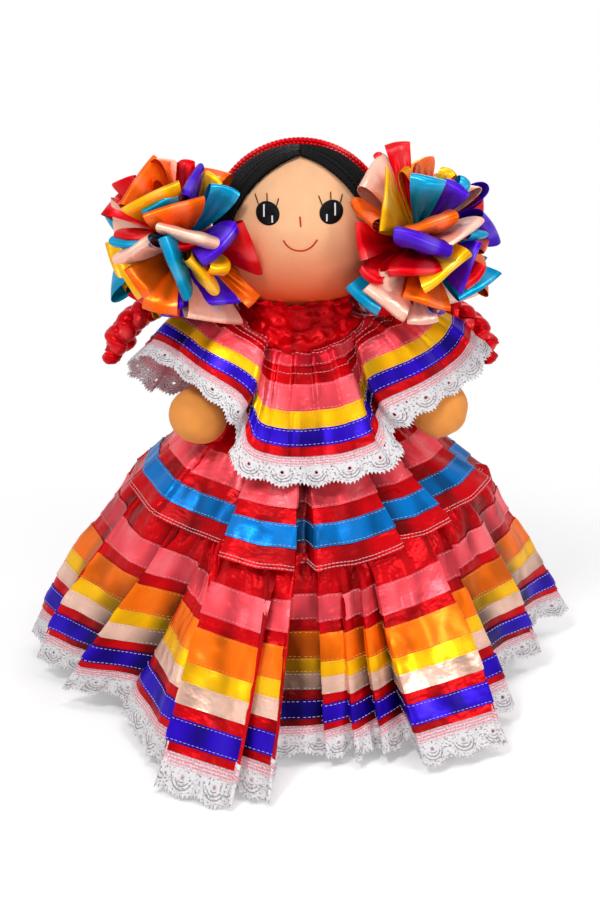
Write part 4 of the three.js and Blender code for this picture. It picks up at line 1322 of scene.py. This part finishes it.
def hair():
    """Yarn laid from the parting down to both sides, over a cap of the same yarn."""
    rng = np.random.RandomState(61)
    heap = Heap()
    turn = np.linspace(0, 1, 20)[:, None]
    for sign in SIGNS.values():
        for f in np.linspace(0, 1, HAIR_STRANDS):
            back = math.radians(-11.5 + 190 * f)
            start = np.array([sign * 0.012, math.sin(back), math.cos(back)])
            gather = np.array([sign * (0.86 + 0.06 * math.sin(math.pi * f)), -0.5 + 1.05 * f, -0.12 - 0.45 * f])
            gather = unit(gather + 0.02 * rng.standard_normal(3))
            start = unit(start + 0.006 * rng.standard_normal(3))
            way = unit(start * (1 - turn) + gather * turn)
            out = HAIR - YARN_R + 1.1 * rng.rand() * np.sin(np.pi * turn) ** 0.5
            radius = YARN_R * (1 - 0.3 * turn[:, 0]) * (0.85 + 0.3 * rng.rand())
            path = on_head(way) + unit(way / HEAD_R) * out
            heap.add(*tube(path, radius, 7, up=(sign * 0.2, 1, 0.1)))
    front = unit(np.array(PART_FRONT))
    planes = [unit(np.cross(front, (sign * 0.86, -0.5, -0.12))) * sign for sign in SIGNS.values()]
    t = np.linspace(0.02, np.pi * 0.72, 48)[:, None]
    d = around(full_turn(120), np.sin(t), np.cos(t))
    inside = np.where(d[..., 0] >= 0, d @ planes[0], d @ planes[1])
    high = -1.5 + (HAIR - 0.3) * smooth((inside - 0.02) / 0.06)
    cap = on_head(d) + unit(d / HEAD_R) * high[..., None]
    heap.add(*shell(cap, 1.0, True, -1.0))
    dress(heap.make("hair_yarn", M["hair"]), "head", "black_yarn", "hair")


def plait(path, radius, wide, thick, turns, up, sides=10, flat=1.0):
    """Three strands that cross over and under each other along a path."""
    path = np.asarray(path, float)
    n = len(path)
    side, over = beside(path, up)
    ends = np.clip(np.minimum(np.linspace(0, 1, n), np.linspace(1, 0, n)) * 14, 0.35, 1)
    for k in range(3):
        phase = 2 * np.pi * (turns * np.linspace(0, 1, n) + k / 3)
        strand = (path + side * (wide * np.sin(phase) * ends)[:, None]
                  + over * (thick * np.sin(2 * phase) * ends)[:, None])
        yield tube(strand, radius * (0.5 + 0.5 * ends), sides, flat, up)


def crown_braid():
    share = math.sqrt(1 - (CROWN_BACK / (HEAD_R[1] + HAIR)) ** 2)
    t = np.radians(np.linspace(-CROWN_SPAN, CROWN_SPAN, 372))
    wide, high = [(HEAD_R[k] + HAIR) * share + CROWN_SIT for k in (0, 2)]
    path = HEAD + np.stack([wide * np.sin(t), np.full_like(t, CROWN_BACK), high * np.cos(t)], axis=-1)
    heap = Heap()
    for strand in plait(path, *CROWN_STRAND, CROWN_TURNS, (0, 1, 0), 8):
        heap.add(*strand)
    dress(heap.make("crown_braid_plait", M["pom_red"]), "head", "red_satin", "crown_braid")


def side_braids():
    for side, sign in SIGNS.items():
        path = curve(np.array(BRAID_PATH) * (sign, 1, 1), 240)
        cut = int(np.argmin(np.abs(path[:, 2] - BRAID_CUT)))
        upper, lower = Heap(), Heap()
        for verts, _, uv in plait(path, *BRAID_STRAND, BRAID_TURNS, (0, 0.5, 1), BRAID_SIDES, 0.8):
            rings, weaves = [v[:-2].reshape(len(path), BRAID_SIDES, -1) for v in (verts, uv)]
            for heap, rows in ((upper, slice(0, cut + 1)), (lower, slice(cut, len(path)))):
                part_uv = np.concatenate([weaves[rows].reshape(-1, 2), uv[-2:]])
                heap.add(*capped(rings[rows], flip=True), part_uv)
        knot = path[-1] + (path[-1] - path[-4]) * 0.4
        lower.add(*ball(knot, (6.0, 6.0, 5.0), 14, 20, lumps(71, 5.0, 0.9)))
        start, end = [(sign * x, y, z) for x, y, z in BRAID_BEND]
        top = upper.make(f"{side}_braid_upper", M["pom_red"])
        bend(top, ("head", "torso"), start, end, "red_satin", f"{side}_braid")
        follow_arm(lower.make(f"{side}_braid_lower", M["pom_red"]), side, "red_satin", f"{side}_braid")


# Pompoms


def sight(u, v, middle, radius):
    """Where the line of sight through a place in the photograph meets a ball, or passes it closest."""
    eye = np.array([0, 0, CAMERA_TARGET_Z]) - VIEW * CAMERA_DISTANCE
    up = np.cross((1, 0, 0), VIEW)
    focal = CAMERA_LENS / CAMERA_SENSOR * IMAGE[1]
    way = unit(VIEW + (np.array([1, 0, 0]) * (u - IMAGE[0] / 2) + up * (IMAGE[1] / 2 - v)) / focal)
    near = (middle - eye) @ way
    miss = np.linalg.norm(eye + way * near - middle)
    if miss >= radius:
        return middle + unit(eye + way * near - middle) * min(miss, radius * 1.12)
    return eye + way * (near - math.sqrt(radius ** 2 - miss ** 2))


def loop(heap, middle, ends, depth, rng):
    """One wide ribbon loop: out from the hub to a ridge between two ends, over it and back."""
    steps, cells = 40, 14
    s = np.linspace(0.03, 0.97, steps)[:, None]
    w = np.linspace(-1, 1, cells)[None]
    tips = [np.asarray(e, float) - middle for e in ends]
    aim = unit(tips[0] + tips[1])
    over = unit(np.cross(tips[1] - tips[0], aim))
    share = ((w + 1) / 2)[..., None]
    tip = tips[0] * (1 - share) + tips[1] * share
    tip = tip + aim * (1.2 * (1 - w ** 2))[..., None]
    reach = 0.08 + 0.92 * np.sin(np.pi * s) ** 0.8
    lift = -depth * np.cos(np.pi * s) * np.sin(np.pi * s) ** 1.1
    phase = rng.rand(4) * 6.3
    dents = 0.7 * np.sin(2.2 * w + 5 * s + phase[0]) * np.sin(np.pi * s)
    dents = dents + 2.2 * (1 - reach) * np.sin(6.5 * w + phase[1] + 2 * s)
    dents = dents + 1.6 * np.sin(1.3 * w + phase[3]) * reach
    sway = 2.5 * np.sin(np.pi * s + phase[2]) * reach ** 2
    grid = middle + tip * reach[..., None] + over * (lift + dents + sway)[..., None]
    heap.add(*shell(grid, 0.35, False))


def clear_of_head(tip, middle):
    """Whether a straight loop from the hub to a tip stays outside the hair."""
    room = HEAD_R + HAIR + 4
    return all(np.linalg.norm((middle + (tip - middle) * f - HEAD) / room) > 1 for f in (0.4, 0.6, 0.8, 1.0))


def pompoms():
    golden = math.pi * (3 - math.sqrt(5))
    for (side, sign), seed in zip(SIGNS.items(), (83, 97)):
        rng = np.random.RandomState(seed)
        middle = np.array(POMPOM, float) * (sign, 1, 1)
        axis = unit(np.array(POMPOM_AXIS) * (sign, 1, 1))
        heaps = {tint: Heap() for tint in TINTS}
        for tint, u1, v1, u2, v2, radius in POMPOM_RIDGES[side]:
            ends = [sight(u, v, middle, radius) for u, v in ((u1, v1), (u2, v2))]
            loop(heaps[tint], middle, ends, 6 + 5 * rng.rand(), rng)
        picks = iter(np.concatenate([rng.permutation(6) for _ in range(12)]))
        for k in range(LOOPS):
            y = 1 - 2 * (k + 0.5) / LOOPS
            r = math.sqrt(1 - y * y)
            aim = np.array([r * math.cos(golden * k), y, r * math.sin(golden * k)])
            aim = unit(aim + 0.12 * rng.standard_normal(3))
            across = unit(np.cross(aim, rng.standard_normal(3)))
            length = LOOP_LENGTH * (0.9 + 0.15 * rng.rand())
            width = LOOP_WIDTH * (0.85 + 0.2 * rng.rand())
            lean = rng.rand() - 0.5
            ends = [middle + aim * length * (1 + e * lean * 0.3) + across * e * width / 2 for e in (-1, 1)]
            if aim @ VIEW > -0.25 and all(clear_of_head(e, middle) for e in ends):
                loop(heaps[TINTS[next(picks)]], middle, ends, 6 + 5 * rng.rand(), rng)
        start, end = [(middle[0] * MM, middle[1] * MM, z) for z in (LOOPS_FREE, LOOPS_REST)]
        for tint, heap in heaps.items():
            obj = heap.make(f"{side}_pompom_{tint}_loops", M["pom_" + tint])
            bend(obj, ("head", "torso"), start, end, SLOTS[tint], f"{side}_pompom_{tint}")
        wrap = Heap()
        t = np.linspace(0, 2 * np.pi, 29)
        circle = np.outer(np.cos(t), unit(np.cross(axis, (0, 0, 1)))) + np.outer(np.sin(t), (0, 0, 1))
        for k in range(7):
            turn = middle - axis * (19 - 1.9 * k) + circle * (7.4 - 0.25 * k) + np.outer(t / 6.3 * 1.9, axis)
            wrap.add(*tube(turn, 1.15, 7, up=axis))
        wrap.add(*tube([middle - axis * out for out in (19.5, 12, 4)], [6.6, 6.4, 5.6], 18))
        dress(wrap.make(f"{side}_pompom_binding", M["red"]), "head", "red_satin", f"{side}_pompom_tie")


# Body


def stuffed(path, radii, sides, seed, amount=0.5):
    """A stuffed limb along a path, closed at both ends and a little uneven."""
    verts, faces, uv = tube(path, radii, sides, up=(0, 1, 0))
    bump = lumps(seed, 0.16, amount, 8)(verts)
    centre = np.concatenate([np.repeat(path, sides, axis=0), verts[-2:]])
    return verts + unit(verts - centre + 1e-6) * bump[:, None], faces, uv


def arms():
    for side, sign in SIGNS.items():
        shoulder = SHOULDER * (sign, 1, 1)
        hand = np.array(HANDS[side], float)
        aim = unit(hand - shoulder)
        length = np.linalg.norm(hand - shoulder)
        stations = np.array([(-10, 2.5), (-8.6, 6), (-6, 8.6), (-2, 10.2), (6, ARM_R), (length * 0.45, ARM_R),
                             (length - 20, 10.6), (length - 15.5, 12.4), (length - 10, 16), (length - 4, 18.8),
                             (length + 2, HAND_R), (length + 8, 18.2), (length + 13, 15), (length + 17, 9.8),
                             (length + 19, 4.5)])
        s = np.linspace(stations[0, 0], stations[-1, 0], 46)
        radii = np.interp(s, *stations.T)
        radii = np.convolve(np.pad(radii, 1, mode="edge"), [0.25, 0.5, 0.25], "valid")
        path = shoulder + aim * s[:, None]
        obj = make(f"{side}_arm_stuffed", stuffed(path, radii, 40, 100 + sign), M["hand"], 0)
        dress(obj, f"{side}_arm", "hand_cloth", f"{side}_arm")
        sleeve(side, sign, shoulder, aim)


def sleeve(side, sign, shoulder, aim):
    columns = 120
    folds = Folds(110 + sign, columns, 4, 1.6)
    ts = np.linspace(0, 1, 16)
    t = ts[:, None]
    angle = np.radians(full_turn(columns))
    u = unit(np.cross(aim, (0, 0, 1.0)))
    v = np.cross(u, aim)
    radius = 12.0 + 1.6 * np.sin(np.pi * t) + folds.at(ts) * 0.5 * np.sin(np.pi * np.clip(t, 0.1, 0.9))
    grid = (shoulder + aim * (9 + 22 * t)[..., None] + (radius * np.cos(angle))[..., None] * u
            + (radius * np.sin(angle))[..., None] * v)
    if np.sum(slopes(grid, True)[8] * (grid[8] - grid[8].mean(axis=0))) < 0:
        grid = grid[:, ::-1]
    obj = dress(ring_cloth(f"{side}_sleeve_cloth", grid), f"{side}_arm", "red_satin", f"{side}_sleeve")


def legs():
    z = np.linspace(LEG[0, 0], LEG[-1, 0], 52)
    radii = np.interp(z, *LEG.T)
    for side, sign in SIGNS.items():
        path = np.stack([np.full_like(z, sign * HIP[0]), 0 * z, z], axis=-1)
        obj = make(f"{side}_leg_stuffed", stuffed(path, radii, 32, 120 + sign), M["skin"], 0)
        dress(obj, f"{side}_leg", "skin_cloth", f"{side}_leg")
        shoe(side, sign)


def shoe(side, sign):
    """A felt slipper with a sewn sole and a strap."""
    rows, columns = 18, 48
    t = np.linspace(0, 1, rows)[:, None]
    a = full_turn(columns)
    toe = 1 + 0.16 * np.clip(np.cos(np.radians(a)), 0, 1) * t
    half_w = 11.6 + 2.6 * np.sin(np.pi * np.clip(t * 0.75 + 0.1, 0, 1))
    half_l = (12.5 + 10.3 * smooth(t * 1.3)) * toe ** 0.2
    foot = np.array([sign * HIP[0], -8.0, 0])
    grid = around(a, half_w, 24 - 18.5 * t, half_l) + foot
    grid[..., 1] -= t
    heap = Heap()
    heap.add(*shell(grid, 1.4, True, -1.4))
    for low, out in ((4.0, 0.8), (5.4, 0.9)):
        edge = around(a[0], 12.6 + out, low, 23.0 + out) + foot - (0, 0.4, 0)
        sole = np.stack([edge, edge + (0, 0, 1.4)])
        uv = np.stack([np.tile(np.arange(columns), 2), np.zeros(2 * columns)], axis=-1)
        heap.add(*capped(sole, flip=True), np.concatenate([uv, np.zeros((2, 2))]))
    heap.add(*tube(around(np.linspace(-100, 100, 40), 14.2, 22.5, 15.2) + foot, 1.5, 8, 0.6))
    dress(heap.make(f"{side}_shoe_felt", M["felt"]), f"{side}_leg", "black_felt", f"{side}_shoe")


def fitted(name, node_name, stations, columns, seed, gather, crumple):
    """A ring of satin drawn tight through level ovals."""
    ts = np.linspace(0, 1, 30)
    place = np.linspace(0, 1, len(stations))
    z, wide, deep = [np.interp(ts, place, row)[:, None] for row in np.array(stations).T]
    grid = around(full_turn(columns), wide, z, deep)
    folds, fine = Folds(seed, columns, 4, 2.2), Folds(seed + 1, columns, 14, 1.4)
    relief = folds.at(ts) * np.linspace(*gather, 30)[:, None] + fine.at(ts) * crumple
    grid = grid + slopes(grid, True) * relief[..., None]
    obj = dress(ring_cloth(name, grid), "torso", "red_satin", node_name)
    return grid


def body():
    z = np.linspace(TORSO[0, 0], TORSO[-1, 0], 34)[:, None]
    wide, deep = [np.interp(z, TORSO[:, 0], TORSO[:, k]) for k in (1, 2)]
    grid = around(full_turn(64), wide, z, deep)[::-1]
    bump = lumps(131, 3.5, 0.5)(unit(grid - (0, 0, 215.0)))
    grid = grid + slopes(grid, True) * bump[..., None]
    uv = np.concatenate([grid_uv(grid), [[0, 0], [0, 90]]])
    torso = make("torso_stuffed", (*capped(grid), uv), M["skin"], 0)
    dress(torso, "torso", "skin_cloth", "torso")

    z = np.linspace(NECK[0, 0], NECK[-1, 0], 14)
    radii = np.interp(z, *NECK.T)
    path = np.stack([0 * z, np.linspace(0, -2, 14), z], axis=-1)
    neck = make("neck_stuffed", stuffed(path, radii, 36, 133, 0.3), M["skin"], 0)
    bend(neck, ("torso", "head"), NECK_LOW, (0, -0.006, 0.268), "skin_cloth", "neck")

    fitted("bodice_cloth", "bodice", BODICE, 220, 141, (0.25, 0.45), 0.15)
    grid = fitted("waistband_ribbon", "waistband", WAISTBAND, 240, 151, (0.2, 0.2), 0.08)
    sew_rows("waistband_stitches", "pink_thread", grid, (5, 24), WAIST_STITCH)


def petticoat():
    columns = 420
    folds, fine = Folds(161, columns, 3, 4.5), Folds(162, columns, 12, 2.0)
    ts = np.linspace(0, 1, 44)
    t = ts[:, None]
    radius = PETTICOAT_R + PETTICOAT_FLARE * t ** 0.96
    grid = around(full_turn(columns), radius, PETTICOAT_Z - PETTICOAT_FALL * t, radius * (1 - 0.02 * (1 - t)))
    grid = grid + slopes(grid, True) * (folds.at(ts) * 1.6 * smooth(t * 3) + fine.at(ts) * 0.3)[..., None]
    cloth = dress(ring_cloth("petticoat_cloth", grid, "white"), "torso", "white_cotton", "petticoat")
    tucks = sew_rows("petticoat_stitches", "pale_thread", grid, (38, 41), PETTICOAT_STITCH)


# Stage


def seen_rays(tree):
    """One for rays from the camera or by way of gloss or glass, else nought."""
    rays = node(tree, "LightPath").outputs
    seen = sums(tree, "ADD", rays["Is Camera Ray"], rays["Is Glossy Ray"])
    return sums(tree, "ADD", seen, rays["Is Transmission Ray"], clamp=True)


def joined(tree, kind, *inputs):
    """Shaders added or mixed."""
    made = node(tree, kind)
    for value, socket in zip(inputs, made.inputs):
        put(tree, value, socket)
    return made.outputs[0]


def stage():
    bpy.ops.mesh.primitive_circle_add(vertices=96, radius=6, fill_type="NGON")
    floor = bpy.context.object
    floor.name = "studio_floor"
    material, tree, bsdf = begin("floor_white", Base_Color=(0.94, 0.94, 0.945, 1), Roughness=0.9,
                                 Specular_IOR_Level=0.1)
    place = node(tree, "TexCoord").outputs["Object"]
    far = node(tree, "VectorMath", {"operation": "LENGTH"}, Vector=place).outputs["Value"]
    seen = seen_rays(tree)
    fade = sums(tree, "MULTIPLY", remap(tree, far, 0.2, 0.44), seen)
    glow = node(tree, "Emission", Color=WHITE, Strength=1.0)
    lift = node(tree, "Emission", Color=WHITE, Strength=sums(tree, "MULTIPLY", seen, FLOOR_LIFT))
    near = joined(tree, "AddShader", bsdf.outputs[0], lift.outputs[0])
    wire(tree, tree.nodes["Material Output"], Surface=joined(tree, "MixShader", fade, near, glow.outputs[0]))
    floor.data.materials.append(material)

    world = bpy.data.worlds.new("studio")
    bpy.context.scene.world = world
    world.use_nodes = True
    tree = world.node_tree
    soft = tree.nodes["Background"]
    wire(tree, soft, Color=WHITE, Strength=WORLD_LIGHT)
    white = node(tree, "Background", Color=WHITE, Strength=1.0)
    both = joined(tree, "MixShader", seen_rays(tree), soft.outputs[0], white.outputs[0])
    wire(tree, tree.nodes["World Output"], Surface=both)

    for name, place, size, power in LAMPS:
        lamp = bpy.data.lights.new(name, "AREA")
        lamp.size, lamp.energy = size, power
        obj = bpy.data.objects.new(name, lamp)
        obj.location = place
        obj.rotation_euler = (Vector(LAMP_AIM) - Vector(place)).to_track_quat("-Z", "Y").to_euler()
        bpy.context.collection.objects.link(obj)

    camera = bpy.data.cameras.new("camera")
    camera.sensor_fit, camera.sensor_height, camera.lens = "VERTICAL", CAMERA_SENSOR, CAMERA_LENS
    obj = bpy.data.objects.new("camera", camera)
    target = Vector((0, 0, CAMERA_TARGET_Z)) * MM
    obj.location = target - Vector(VIEW) * CAMERA_DISTANCE * MM
    obj.rotation_euler = (target - obj.location).to_track_quat("-Z", "Y").to_euler()
    bpy.context.collection.objects.link(obj)
    bpy.context.scene.camera = obj
    bpy.context.scene.view_settings.view_transform = "Standard"


stage()
lower_tier()
upper_tier()
flounce()
collar()
head()
face()
hair()
crown_braid()
side_braids()
pompoms()
arms()
legs()
body()
petticoat()
